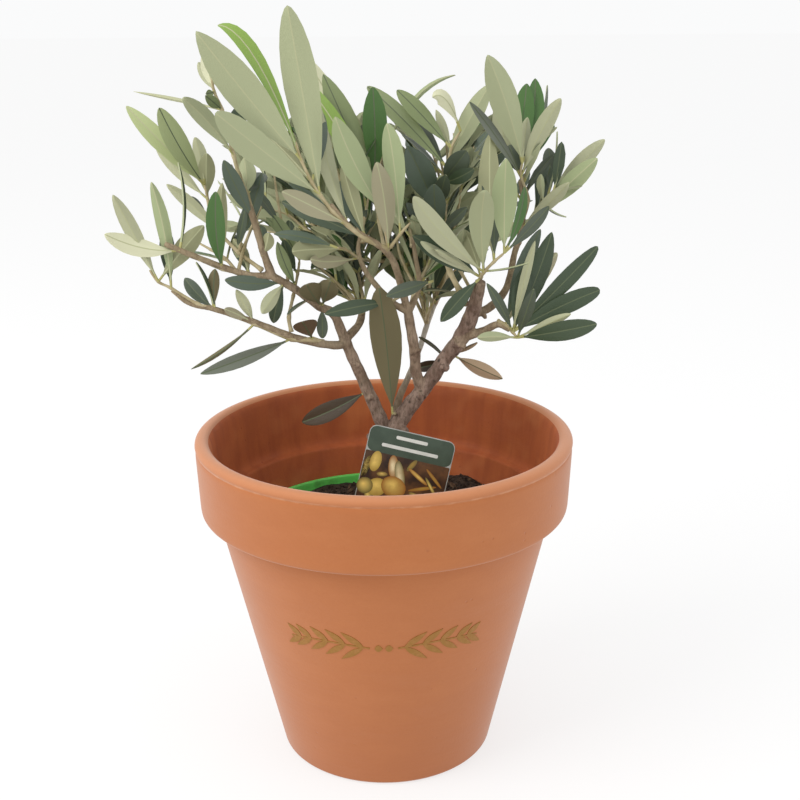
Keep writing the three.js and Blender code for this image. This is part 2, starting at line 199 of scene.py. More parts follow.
def noise_node(tree, place, scale, detail=4.0, rough=0.55):
    """Cloudy random values about 0.5, `scale` clouds to the metre."""
    node = tree.nodes.new("ShaderNodeTexNoise")
    tree.links.new(place, node.inputs["Vector"])
    node.inputs["Scale"].default_value = scale
    node.inputs["Detail"].default_value = detail
    node.inputs["Roughness"].default_value = rough
    return node.outputs["Fac"]


def ramp(tree, value, low, high, to_low=0.0, to_high=1.0):
    """The value carried from low..high over to to_low..to_high, and held between them."""
    node = tree.nodes.new("ShaderNodeMapRange")
    tree.links.new(value, node.inputs["Value"])
    node.inputs["From Min"].default_value = low
    node.inputs["From Max"].default_value = high
    node.inputs["To Min"].default_value = to_low
    node.inputs["To Max"].default_value = to_high
    return node.outputs["Result"]


def maths(tree, operation, a, b):
    """One operation on two values, each a number or the output of a node."""
    node = tree.nodes.new("ShaderNodeMath")
    node.operation = operation
    for socket, value in zip(node.inputs, (a, b)):
        if isinstance(value, (int, float)):
            socket.default_value = value
        else:
            tree.links.new(value, socket)
    return node.outputs[0]


def blended(tree, share, a, b):
    """Colour a with a share of colour b laid over it."""
    node = tree.nodes.new("ShaderNodeMix")
    node.data_type = "RGBA"
    for socket, value in ((node.inputs[0], share), (node.inputs[6], a), (node.inputs[7], b)):
        if isinstance(value, tuple):
            socket.default_value = (*value, 1)
        elif isinstance(value, (int, float)):
            socket.default_value = value
        else:
            tree.links.new(value, socket)
    return node.outputs[2]


def squeezed(tree, place, x, y, z):
    """The place stretched along each axis, for patterns longer one way than the other."""
    node = tree.nodes.new("ShaderNodeMapping")
    node.inputs["Scale"].default_value = (x, y, z)
    tree.links.new(place, node.inputs["Vector"])
    return node.outputs["Vector"]


def fired_clay_effect():
    """Colour, roughness and relief of unglazed clay: clouds, specks, dust and turning lines."""
    tree, given, result = effect(
        "fired_clay",
        [
            ("Clay", "NodeSocketColor", (0.5, 0.2, 0.08, 1)),
            ("Dark", "NodeSocketColor", (0.3, 0.1, 0.04, 1)),
            ("Dust", "NodeSocketColor", (0.7, 0.42, 0.28, 1)),
            ("Dusting", "NodeSocketFloat", 0.3),
        ],
        [("Color", "NodeSocketColor"), ("Roughness", "NodeSocketFloat"), ("Height", "NodeSocketFloat")],
    )
    place = own_place(tree)
    cloud = noise_node(tree, place, 14, 3)
    blotch = noise_node(tree, squeezed(tree, place, 1, 1, 2.2), 38, 5, 0.6)
    grain = noise_node(tree, place, 900, 2)
    rings = noise_node(tree, squeezed(tree, place, 0.06, 0.06, 1), 420, 3)
    specks = tree.nodes.new("ShaderNodeTexVoronoi")
    specks.inputs["Scale"].default_value = 210
    tree.links.new(place, specks.inputs["Vector"])
    pits = ramp(tree, specks.outputs["Distance"], 0.05, 0.16, 1, 0)
    rare = ramp(tree, noise_node(tree, place, 75, 1), 0.6, 0.66)
    pits = maths(tree, "MULTIPLY", pits, rare)
    dark = given.outputs["Dark"]
    tone = blended(tree, ramp(tree, cloud, 0.35, 0.7, 0, 0.25), given.outputs["Clay"], dark)
    tone = blended(tree, ramp(tree, grain, 0.3, 0.7, 0, 0.16), tone, dark)
    dusty = maths(tree, "MULTIPLY", ramp(tree, blotch, 0.46, 0.72), given.outputs["Dusting"])
    tone = blended(tree, dusty, tone, given.outputs["Dust"])
    tone = blended(tree, maths(tree, "MULTIPLY", pits, 0.55), tone, dark)
    tree.links.new(tone, result.inputs["Color"])
    tree.links.new(ramp(tree, blotch, 0.3, 0.7, 0.7, 0.9), result.inputs["Roughness"])
    relief = maths(tree, "MULTIPLY", rings, 0.5)
    relief = maths(tree, "ADD", relief, maths(tree, "MULTIPLY", grain, 0.35))
    relief = maths(tree, "SUBTRACT", relief, maths(tree, "MULTIPLY", pits, 0.9))
    tree.links.new(relief, result.inputs["Height"])
    return tree


fired_clay = fired_clay_effect()
pot_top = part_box("terracotta_pot")[1][2]
groove_height = pot_top - 0.0041
chalk_tone = (0.7, 0.37, 0.2)


def clay_finish(name, clay, dark, dust, dusting, outside):
    """Unglazed clay of one tone. Outside, the top of the lip is pale with dust and a painted highlight,
    a little chalk lies in the groove under it and the foot is darker with painted shade; inside, water
    has left runs and washed spots."""
    finish, tree, shader = new_finish(name)
    surface = tree.nodes.new("ShaderNodeGroup")
    surface.node_tree = fired_clay
    for label, tone in (("Clay", clay), ("Dark", dark), ("Dust", dust)):
        surface.inputs[label].default_value = (*tone, 1)
    surface.inputs["Dusting"].default_value = dusting
    colour = surface.outputs["Color"]
    place = own_place(tree)
    if outside:
        split = tree.nodes.new("ShaderNodeSeparateXYZ")
        tree.links.new(place, split.inputs[0])
        height = split.outputs["Z"]
        # The top of the lip is paler: partly pale dust and wear, partly a painted highlight where the
        # light from above falls on it.
        pale_lip_dust_and_highlight = ramp(tree, height, pot_top - 0.0045, pot_top - 0.0005, 0, 0.5)
        colour = blended(tree, pale_lip_dust_and_highlight, colour, dust)
        above = ramp(tree, height, groove_height - 0.0006, groove_height - 0.0001)
        below = ramp(tree, height, groove_height + 0.0009, groove_height + 0.0003)
        flaking = noise_node(tree, squeezed(tree, place, 1, 1, 2.5), 170, 4)
        flakes = ramp(tree, flaking, 0.45, 0.66, 0.08, 0.42)
        chalk = maths(tree, "MULTIPLY", maths(tree, "MULTIPLY", above, below), flakes)
        colour = blended(tree, chalk, colour, chalk_tone)
        # Darker towards the foot: painted shade, where less light comes up from the table.
        colour = blended(tree, ramp(tree, height, 0.06, 0.0, 0, 0.4), colour, dark)
        shader.inputs["Sheen Weight"].default_value = 0.3
        shader.inputs["Sheen Roughness"].default_value = 0.45
    else:
        streaming = noise_node(tree, squeezed(tree, place, 1, 1, 0.07), 130, 3)
        colour = blended(tree, ramp(tree, streaming, 0.42, 0.66, 0, 0.45), colour, dark)
        washed = ramp(tree, noise_node(tree, place, 42, 2), 0.54, 0.68, 0, 0.4)
        colour = blended(tree, washed, colour, dust)
    tree.links.new(colour, shader.inputs["Base Color"])
    tree.links.new(surface.outputs["Roughness"], shader.inputs["Roughness"])
    add_relief(tree, shader, surface.outputs["Height"], 0.35, 0.0004)
    return finish


clay_outside = clay_finish(
    "clay_outside", (0.42, 0.136, 0.036), (0.34, 0.098, 0.024), (0.6, 0.27, 0.135), 0.12, True
)
clay_inside = clay_finish(
    "clay_inside", (0.44, 0.105, 0.025), (0.26, 0.052, 0.014), (0.56, 0.18, 0.055), 0.2, False
)

pot_height = pot_top / MM
lip_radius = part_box("terracotta_pot")[1][0] / MM
band = 118.0
foot_radius, foot_height = 49.8, 3.0
neck_radius, neck_height = 76.1, band - 0.4
pot_outline = [
    (0, 0),
    (47.2, 0),
    (49.3, 0.7),
    (foot_radius, foot_height),
    (neck_radius, neck_height),
    (81.2, band),
    (82.9, band + 0.8),
    (83.3, band + 2.8),
    (lip_radius - 0.3, pot_height - 6.4),
    (lip_radius - 0.5, pot_height - 4.8),
    (lip_radius - 0.75, pot_height - 4.3),
    (lip_radius - 0.25, pot_height - 3.6),
    (lip_radius, pot_height - 2.3),
    (lip_radius - 0.9, pot_height - 0.7),
    (lip_radius - 3, pot_height),
    (79.6, pot_height - 0.4),
    (77.9, pot_height - 2.4),
    (77.2, pot_height - 6),
    (75.2, band + 6),
    (73.8, band + 3.2),
    (71.2, band + 2.3),
    (70.6, band),
    (44.5, 10),
    (42.7, 8),
    (0, 8),
]
pot_line = softened(pot_outline)
lip_inside = next(i for i, (r, z) in enumerate(pot_line) if z > pot_height - 1.5 and r < 79.0)
clays = [clay_outside, clay_inside]
terracotta_pot = turned("terracotta_pot_clay", pot_line, 168, clays, lip_inside, wobble=0.0008)
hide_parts("terracotta_pot")
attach(terracotta_pot, "root")

# ---- printed sprig ---------------------------------------------------------------------------
# Two plain olive sprigs in matt gold-brown ink, printed across the front of the pot where a
# maker would stamp it. The ink is a film 0.2 mm thick, its middle just out from the clay.
ink_stands_out = 0.12


def on_pot(across, up):
    """The point on the pot's front at `across` mm round from the middle and `up` mm high."""
    share = (up - foot_height) / (neck_height - foot_height)
    radius = foot_radius + share * (neck_radius - foot_radius) + ink_stands_out
    turn = across / radius
    return (radius * math.sin(turn), -radius * math.cos(turn), up)


def printed_leaf(across, up, angle, length, width):
    """One flat leaf shape on the pot's side; angle is from level, in radians."""
    steps = 9
    upper, lower = [], []
    for i in range(steps + 1):
        t = i / steps
        half = 0.5 * width * math.sin(math.pi * t**0.85)
        for side, row in ((half, upper), (-half, lower)):
            x = t * length * math.cos(angle) - side * math.sin(angle)
            y = t * length * math.sin(angle) + side * math.cos(angle)
            row.append(on_pot(across + x, up + y))
    return upper, lower


def mottled_finish(name, first, second, scale, detail, low, high, most, roughness):
    """A finish of one colour, mottled with up to `most` of another where the noise is high."""
    finish, tree, shader = new_finish(name, roughness)
    share = ramp(tree, noise_node(tree, own_place(tree), scale, detail), low, high, 0, most)
    tree.links.new(blended(tree, share, first, second), shader.inputs["Base Color"])
    return finish


sprig_ink = mottled_finish(
    "gold_brown_ink", (0.27, 0.12, 0.008), (0.36, 0.15, 0.035), 600, 3, 0.42, 0.7, 0.6, 0.55
)
sprig_height, sprig_start, sprig_length, stem_half = 78.0, 6, 36, 0.35
sprig_points, sprig_faces = [], []


def add_strip(upper, lower):
    """A band of faces between two rows of points on the pot."""
    start = len(sprig_points)
    sprig_points.extend(upper + lower)
    n = len(upper)
    for i in range(n - 1):
        sprig_faces.append((start + i, start + n + i, start + n + i + 1, start + i + 1))


for side in (-1, 1):
    stem = []
    for t in np.linspace(0, 1, 15):
        across = side * (sprig_start + sprig_length * t)
        stem.append((across, sprig_height + 1.5 * math.sin(3 * t)))
    upper, lower = [[on_pot(x, y + lift) for x, y in stem] for lift in (stem_half, -stem_half)]
    add_strip(upper, lower)
    for i in range(5):
        x, y = stem[1 + 3 * i - i // 4]
        for lift in (-1, 1):
            lean = lift * math.radians(36)
            angle = lean if side > 0 else math.pi - lean
            add_strip(*printed_leaf(x, y, angle, 12.0 - 0.8 * i, 2.9))
for x in (-2.2, 2.2):
    add_strip(*printed_leaf(x - 1.7, sprig_height, 0, 3.4, 3.4))
printed_sprig = plain_object("printed_sprig", sprig_points, sprig_faces, [sprig_ink], smooth=False)
thicken = printed_sprig.modifiers.new("ink_body", "SOLIDIFY")
thicken.thickness = 0.0002
thicken.offset = 0
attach(printed_sprig, "root")

# ---- nursery pot -----------------------------------------------------------------------------
# The thin green plastic pot that the tree was grown in, stood inside the clay pot. Only its
# rolled rim shows above the compost.
green_plastic = mottled_finish(
    "green_plastic", (0.14, 0.68, 0.12), (0.06, 0.15, 0.035), 90, 4, 0.52, 0.72, 0.5, 0.4
)
rim_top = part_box("nursery_pot")[1][2] / MM
nursery_outline = [
    (0, 8.35),
    (41.3, 8.35),
    (42, 9.4),
    (65.1, rim_top - 4.6),
    (66.3, rim_top - 4.3),
    (66.6, rim_top - 3.6),
    (66.6, rim_top - 0.7),
    (66, rim_top),
    (64.8, rim_top),
    (64.4, rim_top - 0.7),
    (64.2, rim_top - 4.4),
    (40.6, 9.5),
    (0, 9.5),
]
nursery_pot = turned("nursery_pot_shell", softened(nursery_outline, 2), 120, [green_plastic])
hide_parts("nursery_pot")
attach(nursery_pot, "root")


# ---- compost ---------------------------------------------------------------------------------
# Dark peat and bark, lumpy, with loose crumbs and chips lying on it. The crumbs are scattered
# over the surface by a geometry node tree, and each kind is made one mesh.
def compost_surface(x, y):
    """Height of the compost in mm, with a heap against the back right of the rim."""
    r = math.hypot(x, y)
    rough = noise.noise((x * 0.07, y * 0.07, 0.3)) * 1.6 + noise.noise((x * 0.22, y * 0.22, 4.1)) * 0.9
    heap = 5.6 * math.exp(-(((x - 37) / 21) ** 2) - ((y - 53) / 15) ** 2)
    return 103.6 - 0.5 * (r / 64) ** 2 + rough * min(1, r / 14) + heap


def earth_finish(name, dark, light, scale):
    """Crumbly dark earth, paler on its lumps."""
    finish, tree, shader = new_finish(name, 0.95)
    lumps = noise_node(tree, own_place(tree), scale, 6, 0.7)
    tone = blended(tree, ramp(tree, lumps, 0.38, 0.68), dark, light)
    tree.links.new(tone, shader.inputs["Base Color"])
    add_relief(tree, shader, lumps, 0.8, 0.0012)
    return finish


peat = earth_finish("peat", (0.016, 0.009, 0.006), (0.075, 0.045, 0.026), 420)
chip_bark = earth_finish("bark_chips", (0.05, 0.028, 0.015), (0.16, 0.095, 0.05), 300)

compost_rings = 26
compost_sides = 96
compost_radius, compost_foot_radius, compost_foot = 63.6, 39.9, 10
heap_angle = 0.97
compost_angles = [2 * math.pi * j / compost_sides for j in range(compost_sides)]
compost_points = []
for i in range(1, compost_rings + 1):
    for angle in compost_angles:
        spill = 4.6 * math.exp(-(((angle - heap_angle) / 0.3) ** 2))
        radius = (compost_radius + spill) * i / compost_rings
        x, y = radius * math.cos(angle), radius * math.sin(angle)
        compost_points.append((x, y, compost_surface(x, y)))
compost_points += [(0, 0, compost_surface(0, 0)), (0, 0, compost_foot)]
for angle in compost_angles:
    x, y = compost_foot_radius * math.cos(angle), compost_foot_radius * math.sin(angle)
    compost_points.append((x, y, compost_foot))
compost_middle = compost_rings * compost_sides
rim, foot = compost_middle - compost_sides, compost_middle + 2
compost_faces = []
for j in range(compost_sides):
    k = (j + 1) % compost_sides
    compost_faces.append((compost_middle, j, k))
    for i in range(compost_rings - 1):
        a = i * compost_sides
        b = a + compost_sides
        compost_faces.append((a + j, b + j, b + k, a + k))
    compost_faces.append((rim + j, foot + j, foot + k, rim + k))
    compost_faces.append((foot + j, compost_middle + 1, foot + k))
compost = plain_object("compost_body", compost_points, compost_faces, [peat])
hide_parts("compost")
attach(compost, "root")


def crumb_tree():
    """Lumps of two sizes, stood at random over the faces they are given, and made real."""
    tree = bpy.data.node_groups.new("crumb_scatter", "GeometryNodeTree")
    face = tree.interface
    face.new_socket("Ground", in_out="INPUT", socket_type="NodeSocketGeometry")
    for label, value in (("Crumbs per m2", 90000.0), ("Crumb size", 0.0011)):
        face.new_socket(label, in_out="INPUT", socket_type="NodeSocketFloat").default_value = value
    face.new_socket("Finish", in_out="INPUT", socket_type="NodeSocketMaterial")
    face.new_socket("Seed", in_out="INPUT", socket_type="NodeSocketInt").default_value = 3
    face.new_socket("Crumbs", in_out="OUTPUT", socket_type="NodeSocketGeometry")
    given = tree.nodes.new("NodeGroupInput")
    result = tree.nodes.new("NodeGroupOutput")
    spread = tree.nodes.new("GeometryNodeDistributePointsOnFaces")
    lump = tree.nodes.new("GeometryNodeMeshIcoSphere")
    lump.inputs["Subdivisions"].default_value = 1
    stand = tree.nodes.new("GeometryNodeInstanceOnPoints")
    turn = tree.nodes.new("FunctionNodeRandomValue")
    turn.data_type = "FLOAT_VECTOR"
    turn.inputs["Max"].default_value = (6.28, 6.28, 6.28)
    stretch = tree.nodes.new("FunctionNodeRandomValue")
    stretch.data_type = "FLOAT_VECTOR"
    stretch.inputs["Min"].default_value = (0.35, 0.3, 0.25)
    stretch.inputs["Max"].default_value = (2.1, 1.0, 0.8)
    real = tree.nodes.new("GeometryNodeRealizeInstances")
    paint = tree.nodes.new("GeometryNodeSetMaterial")
    join = tree.links.new
    join(given.outputs["Ground"], spread.inputs["Mesh"])
    join(given.outputs["Crumbs per m2"], spread.inputs["Density"])
    join(given.outputs["Seed"], spread.inputs["Seed"])
    join(given.outputs["Crumb size"], lump.inputs["Radius"])
    join(spread.outputs["Points"], stand.inputs["Points"])
    join(lump.outputs["Mesh"], stand.inputs["Instance"])
    join(turn.outputs["Value"], stand.inputs["Rotation"])
    join(stretch.outputs["Value"], stand.inputs["Scale"])
    join(stand.outputs["Instances"], real.inputs["Geometry"])
    join(real.outputs["Geometry"], paint.inputs["Geometry"])
    join(given.outputs["Finish"], paint.inputs["Material"])
    join(paint.outputs["Geometry"], result.inputs["Crumbs"])
    return tree


def grown(name, source, tree, values):
    """The result of a geometry node tree on a source object, as a plain mesh object."""
    modifier = source.modifiers.new(name, "NODES")
    modifier.node_group = tree
    for item in tree.interface.items_tree:
        if item.in_out == "INPUT" and item.name in values:
            modifier[item.identifier] = values[item.name]
    seen = source.evaluated_get(bpy.context.evaluated_depsgraph_get())
    mesh = bpy.data.meshes.new_from_object(seen)
    mesh.name = name
    source.modifiers.remove(modifier)
    thing = bpy.data.objects.new(name, mesh)
    scene.collection.objects.link(thing)
    return thing


# The ground of the crumbs: a grid over the compost, out to its edge, which is further where the
# heap lies, and open round the trunk.
ground_reach, ground_steps, trunk_gap = 68, 50, 10
ground_points, ground_faces = [], []
for i in range(ground_steps + 1):
    for j in range(ground_steps + 1):
        x = -ground_reach + 2 * ground_reach * i / ground_steps
        y = -ground_reach + 2 * ground_reach * j / ground_steps
        ground_points.append((x, y, compost_surface(x, y) + 0.1))
for i in range(ground_steps):
    for j in range(ground_steps):
        a = i * (ground_steps + 1) + j
        b = a + ground_steps + 1
        x, y, _ = ground_points[a]
        edge = 66.5 if 28 < x < 52 and y > 30 else 60.5
        if math.hypot(x + 1.4, y + 1.4) < edge and math.hypot(x - 2, y - 3) > trunk_gap:
            ground_faces.append((a, b, b + 1, a + 1))
ground = plain_object("crumb_ground", ground_points, ground_faces, [peat])
scatter = crumb_tree()
for name, finish, size, density, seed in (
    ("fine_crumbs", peat, 0.0011, 150000.0, 3),
    ("bark_chips", chip_bark, 0.0019, 26000.0, 8),
):
    given = {"Crumbs per m2": density, "Crumb size": size, "Finish": finish, "Seed": seed}
    crumbs = grown(name, ground, scatter, given)
    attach(crumbs, "root")
bpy.data.objects.remove(ground)

# ---- plant label -----------------------------------------------------------------------------
# A stiff printed card on its own pointed stake, pushed into the compost before the trunk: a
# dark green heading with two plain pale rules, and below it a picture of ripe fruit and leaves.
# The card stands on the compost, leans 12 degrees back and is tilted 13.5 degrees to one side.
label_foot = Matrix.Translation((0.3, -31, 103.4))
label_lean = Matrix.Rotation(math.radians(90 - 12), 4, "X")
label_tilt = Matrix.Rotation(math.radians(-13.5), 4, "Z")
label_turn = label_foot @ label_lean @ label_tilt
card_half, card_top, card_corner = 19.0, 56.0, 3.2
card_low, heading_low, card_inset = -12, 44.6, 0.32
picture_face = 0.42


def rounded_outline(left, bottom, right, top, corner, steps=6):
    """A rectangle with rounded corners, anticlockwise from the upper right one."""
    outline = []
    for side, end, turn in ((1, 1, 0), (-1, 1, 90), (-1, -1, 180), (1, -1, 270)):
        x = (right if side > 0 else left) - side * corner
        y = (top if end > 0 else bottom) - end * corner
        for i in range(steps + 1):
            a = math.radians(turn + 90 * i / steps)
            outline.append((x + corner * math.cos(a), y + corner * math.sin(a)))
    return outline


def card_shape(name, outline, low, high, finish, spot=None):
    """A flat shape of the label, from low to high above the card's middle. With a spot, its front
    is a fan of faces round that point."""
    n = len(outline)
    points = [label_turn @ Vector((x, y, low)) for x, y in outline]
    points += [label_turn @ Vector((x, y, high)) for x, y in outline + ([spot] if spot else [])]
    faces = [tuple(range(n - 1, -1, -1))]
    faces += [(i, (i + 1) % n, n + (i + 1) % n, n + i) for i in range(n)]
    if spot:
        faces += [(n + i, n + (i + 1) % n, 2 * n) for i in range(n)]
    else:
        faces.append(tuple(range(n, 2 * n)))
    return plain_object(name, points, faces, [finish], smooth=False)


def printed_finish(name, colour, second, scale=180):
    """Half-gloss print on the card, mottled from one colour to the second."""
    return mottled_finish(name, colour, second, scale, 3, 0.4, 0.65, 1, 0.35)


def attribute(tree, name, output):
    """A value or colour that the mesh holds at each of its points."""
    node = tree.nodes.new("ShaderNodeAttribute")
    node.attribute_name = name
    return node.outputs[output]


card_white = printed_finish("card_white", (0.64, 0.65, 0.6), (0.56, 0.58, 0.53))
card_edge = printed_finish("card_edge", (0.34, 0.36, 0.33), (0.42, 0.44, 0.41))
card_green = printed_finish("card_green", (0.038, 0.062, 0.04), (0.05, 0.078, 0.052))
card_brown = printed_finish("card_brown", (0.028, 0.015, 0.009), (0.12, 0.055, 0.02), 130)
card_ink, ink_tree, ink_shader = new_finish("card_ink", 0.35)
ink_mottle = ramp(ink_tree, noise_node(ink_tree, own_place(ink_tree), 260, 4), 0.42, 0.7, 0, 0.4)
ink_tone = blended(ink_tree, ink_mottle, attribute(ink_tree, "ink", "Color"), (0.26, 0.13, 0.03))
ink_tree.links.new(ink_tone, ink_shader.inputs["Base Color"])

# The stake comes into the card's outline between its two lower corners.
card_outline = rounded_outline(-card_half, card_low, card_half, card_top, card_corner)
stake = [(-card_half + 1, card_low), (0, -26), (card_half - 1, card_low)]
split_at = 3 * len(card_outline) // 4
card_outline = card_outline[:split_at] + stake + card_outline[split_at:]
card_body = card_shape("label_card", card_outline, -0.4, 0.36, card_edge)
printed_half, printed_top = card_half - card_inset, card_top - card_inset
printed_corner = card_corner - card_inset
heading = rounded_outline(-printed_half, heading_low, printed_half, printed_top, printed_corner)
picture = rounded_outline(-printed_half, card_low + 1, printed_half, heading_low, 0.5)
card_back = rounded_outline(-18.2, card_low + 1, 18.2, 55.2, 2.4)
layers = [
    card_shape("label_heading", heading, 0.3, picture_face, card_green),
    card_shape("label_picture", picture, 0.3, picture_face, card_brown),
    card_shape("label_back", card_back, -0.44, -0.34, card_green),
]
for top, half in ((53.4, 7.0), (49.0, 12.5)):
    rule = rounded_outline(-half, top - 1.5, half, top, 0.6)
    layers.append(card_shape("label_rule", rule, 0.38, 0.46, card_white))


def oval(x, y, long, short, angle, count=20):
    """The outline of an ellipse about (x, y), its long half-axis turned by an angle in degrees."""
    turn = math.radians(angle)
    cos, sin = math.cos(turn), math.sin(turn)
    outline = []
    for i in range(count):
        a = 2 * math.pi * i / count
        u, v = long * math.cos(a), short * math.sin(a)
        outline.append((x + u * cos - v * sin, y + u * sin + v * cos))
    return outline


def painted(x, y, long, short, angle, high, edge_ink, lit_ink):
    """One shape of the picture, shaded from its edge to a lit spot up and to the left."""
    outline = oval(x, y, long, short, angle)
    spot = (x - 0.25 * short, y + 0.2 * short)
    shape = card_shape("label_shape", outline, picture_face - 0.02, high, card_ink, spot)
    colours = shape.data.attributes.new("ink", "FLOAT_COLOR", "POINT")
    colours.data.foreach_set("color", [*edge_ink, 1] * (2 * len(outline)) + [*lit_ink, 1])
    return shape


# The picture: thin leaves and then fruit, in five inks, each shape lying on the one before.
rust, moss, olive_gold = (0.3, 0.12, 0.02), (0.14, 0.12, 0.035), (0.4, 0.27, 0.05)
gold, cream = (0.85, 0.62, 0.16), (0.9, 0.8, 0.48)
paint_height = picture_face
for x, y, long, short, angle, edge_ink, lit_ink in (
    (-17, 37.5, 5.0, 1.6, 80, moss, gold),
    (-9.5, 35.5, 2.4, 1.0, 10, moss, gold),
    (2.4, 42, 3.2, 1.1, 60, moss, olive_gold),
    (6, 37.8, 5.6, 0.9, 150, rust, gold),
    (9, 33, 6.2, 0.8, 20, rust, olive_gold),
    (13, 38.5, 5.4, 0.7, 140, rust, olive_gold),
    (12.5, 34.5, 5.0, 0.7, 130, moss, gold),
    (14.5, 30, 4.4, 1.2, 10, rust, gold),
    (7, 29, 3.4, 1.2, 160, moss, gold),
    (-13, 24, 6.0, 1.7, 110, moss, gold),
    (3, 22, 8.0, 2.0, 15, moss, gold),
    (10, 15, 7.0, 2.0, 70, moss, gold),
    (-13.5, 40.4, 4.6, 2.5, 86, olive_gold, gold),
    (-5.4, 39.6, 5.2, 2.2, 102, rust, cream),
    (-1.8, 36.4, 6.8, 2.1, 110, moss, cream),
    (-10.5, 29.4, 4.4, 4.0, 30, olive_gold, gold),
    (-15.8, 29, 3.6, 3.6, 60, moss, gold),
    (-3.4, 31.0, 5.6, 4.6, 165, rust, gold),
    (-1, 19, 4.6, 3.8, 70, rust, gold),
    (8, 12.5, 4.6, 3.8, 20, olive_gold, gold),
    (-9, 16, 4.4, 3.7, 120, olive_gold, gold),
    (1, 8, 5.0, 4.1, 95, rust, gold),
    (-13.5, 6, 4.2, 3.5, 60, olive_gold, gold),
    (13, 3, 4.4, 3.6, 30, rust, gold),
):
    layers.append(painted(x, y, long, short, angle, paint_height, edge_ink, lit_ink))
    paint_height += 0.004


def joined(name, parts):
    """The parts as one object, in the order given."""
    with bpy.context.temp_override(
        active_object=parts[0], object=parts[0], selected_objects=parts, selected_editable_objects=parts
    ):
        bpy.ops.object.join()
    parts[0].name = name
    return parts[0]


plant_label = joined("plant_label_card", [card_body] + layers)
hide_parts("plant_label")
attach(plant_label, "root")

# ---- trunk and boughs ------------------------------------------------------------------------
# Grey-brown olive bark over knobbly young wood: a short flared trunk that forks at the pot's
# rim, boughs with collars and pruning knots, and paler, smoother bark on the thin shoots.
# Each limb is its middle line in mm and its radii, spread evenly from its foot to its end.
limbs = {
    "trunk": ([(2, 3, 101.5), (2, 3, 105), (1, 2, 120), (2, 1, 137), (3, 0, 152)], (7.6, 6.5, 5.9)),
    "right_bough": (
        [
            (3, 0, 149), (9, 0, 159), (14, 0, 166), (21, 0, 175), (28, -1, 186), (34, -2, 194),
            (39, -6, 207), (42, -12, 222),
        ],
        (4.3, 3.8, 3.4, 3.3, 3.7, 3.3, 2.5),
    ),
    "left_bough": (
        [(1, 0, 146), (-1, -1, 156), (-9, -2, 176), (-14, -3, 188), (-17, -4, 196)],
        (3.6, 3.0, 2.6, 2.4),
    ),
    "middle_bough": (
        [(17, 0, 171), (14.5, -2, 180), (14, -4, 189), (12, -6, 202), (11, -7, 209)],
        (2.6, 2.5, 2.1),
    ),
    "back_bough": (
        [
            (4, 2, 150), (7, 8, 164), (12, 14, 174), (17, 22, 185), (20, 28, 193), (24, 34, 202),
            (30, 40, 212),
        ],
        (2.3, 1.5, 1.3, 1.2),
    ),
    "upper_left_bough": (
        [(-17, -4, 196), (-21, -7, 207), (-27, -9, 211), (-36, -13, 219), (-46, -17, 226)],
        (2.2, 1.7),
    ),
    "low_left_bough": (
        [
            (-15, -3, 193), (-22, -8, 193.5), (-37, -13, 198), (-55, -19, 207), (-70, -22, 213),
            (-80, -24, 216), (-87, -25, 222),
        ],
        (2.0, 1.0),
    ),
    "inner_left_bough": (
        [(-16, -3, 195), (-10, 5, 201), (-10, 16, 210), (-18, 26, 220), (-28, 36, 232)],
        (1.9, 1.2),
    ),
    "leading_shoot": (
        [(11, -7, 208), (9, -11, 217), (5, -18, 232), (-1, -24, 240), (-12, -29, 248), (-20, -32, 258)],
        (1.8, 1.1),
    ),
    "middle_left_shoot": (
        [(11, -7, 208), (4, -9, 213), (-6, -6, 224), (-10, -4, 234), (-8, -6, 244)],
        (1.6, 0.9),
    ),
    "middle_right_shoot": ([(12, -7, 209), (16, -2, 218), (15, -3, 228), (13, -4, 240)], (1.5, 0.9)),
    "upper_left_shoot": (
        [(-46, -17, 226), (-49, -18, 236), (-55, -18, 258), (-62, -15, 272)],
        (1.8, 1.2),
    ),
    "outer_left_shoot": (
        [(-46, -17, 226), (-55, -20, 227), (-66, -22, 231), (-76, -26, 236), (-88, -29, 242)],
        (1.6, 1.2),
    ),
    "outer_right_bough": (
        [(38, -5, 206), (47, 0, 208), (55, 6, 216), (59, 11, 232), (65, 12, 243)],
        (2.1, 1.2),
    ),
    "right_crown_shoot": ([(60, 11, 234), (62, 12, 247), (60, 9, 262)], (1.4, 0.9)),
    "low_right_shoot": ([(35, -3, 195), (44, -6, 199), (50, -9, 202.5), (55, -12, 201)], (2.1, 1.4)),
    "upper_right_shoot": ([(24, 34, 202), (25, 28, 222), (27, 22, 244)], (1.4, 0.9)),
}
# Pruning stubs and swellings: where, how far they stand out, and their radius.
stubs = [
    ((-3, -5, 150), (-4.5, -3, 1.5), 2.2),
    ((8, -4, 153), (2.5, -4, 0.5), 2.4),
    ((16, -3.5, 168), (1, -3, 3), 1.6),
    ((27, -4, 182), (-1.5, -2.6, 1), 1.4),
    ((33, -5, 193), (3.5, -2, -1), 1.7),
    ((-6, -4, 168), (2, -1.3, 1), 1.1),
    ((-12, -5, 184), (-2.6, -0.8, 1), 1.0),
    ((14, -6, 190), (3, -1, 1), 1.1),
    ((1, -6, 128), (0.6, -2.2, 0.3), 2.4),
    ((-5, -1, 141), (-2.4, -1.2, 0.5), 2.1),
    ((44, -3, 206), (1, -2.5, -2), 1.2),
]


def through(points, step):
    """Points about `step` mm apart along a smooth curve through the given ones, and how far
    along it each lies, from 0 to 1."""
    p = np.array(points, float)
    ends = np.vstack([2 * p[0] - p[1], p, 2 * p[-1] - p[-2]])
    line = []
    for a, b, c, d in zip(ends, ends[1:], ends[2:], ends[3:]):
        n = max(2, int(round(np.linalg.norm(c - b) / step)))
        for t in np.arange(n) / n:
            square, cube = 2 * a - 5 * b + 4 * c - d, 3 * b - a - 3 * c + d
            line.append(0.5 * (2 * b + (c - a) * t + square * t**2 + cube * t**3))
    line.append(p[-1])
    line = np.array(line)
    run = np.concatenate([[0], np.cumsum(np.linalg.norm(np.diff(line, axis=0), axis=1))])
    return line, run / run[-1]


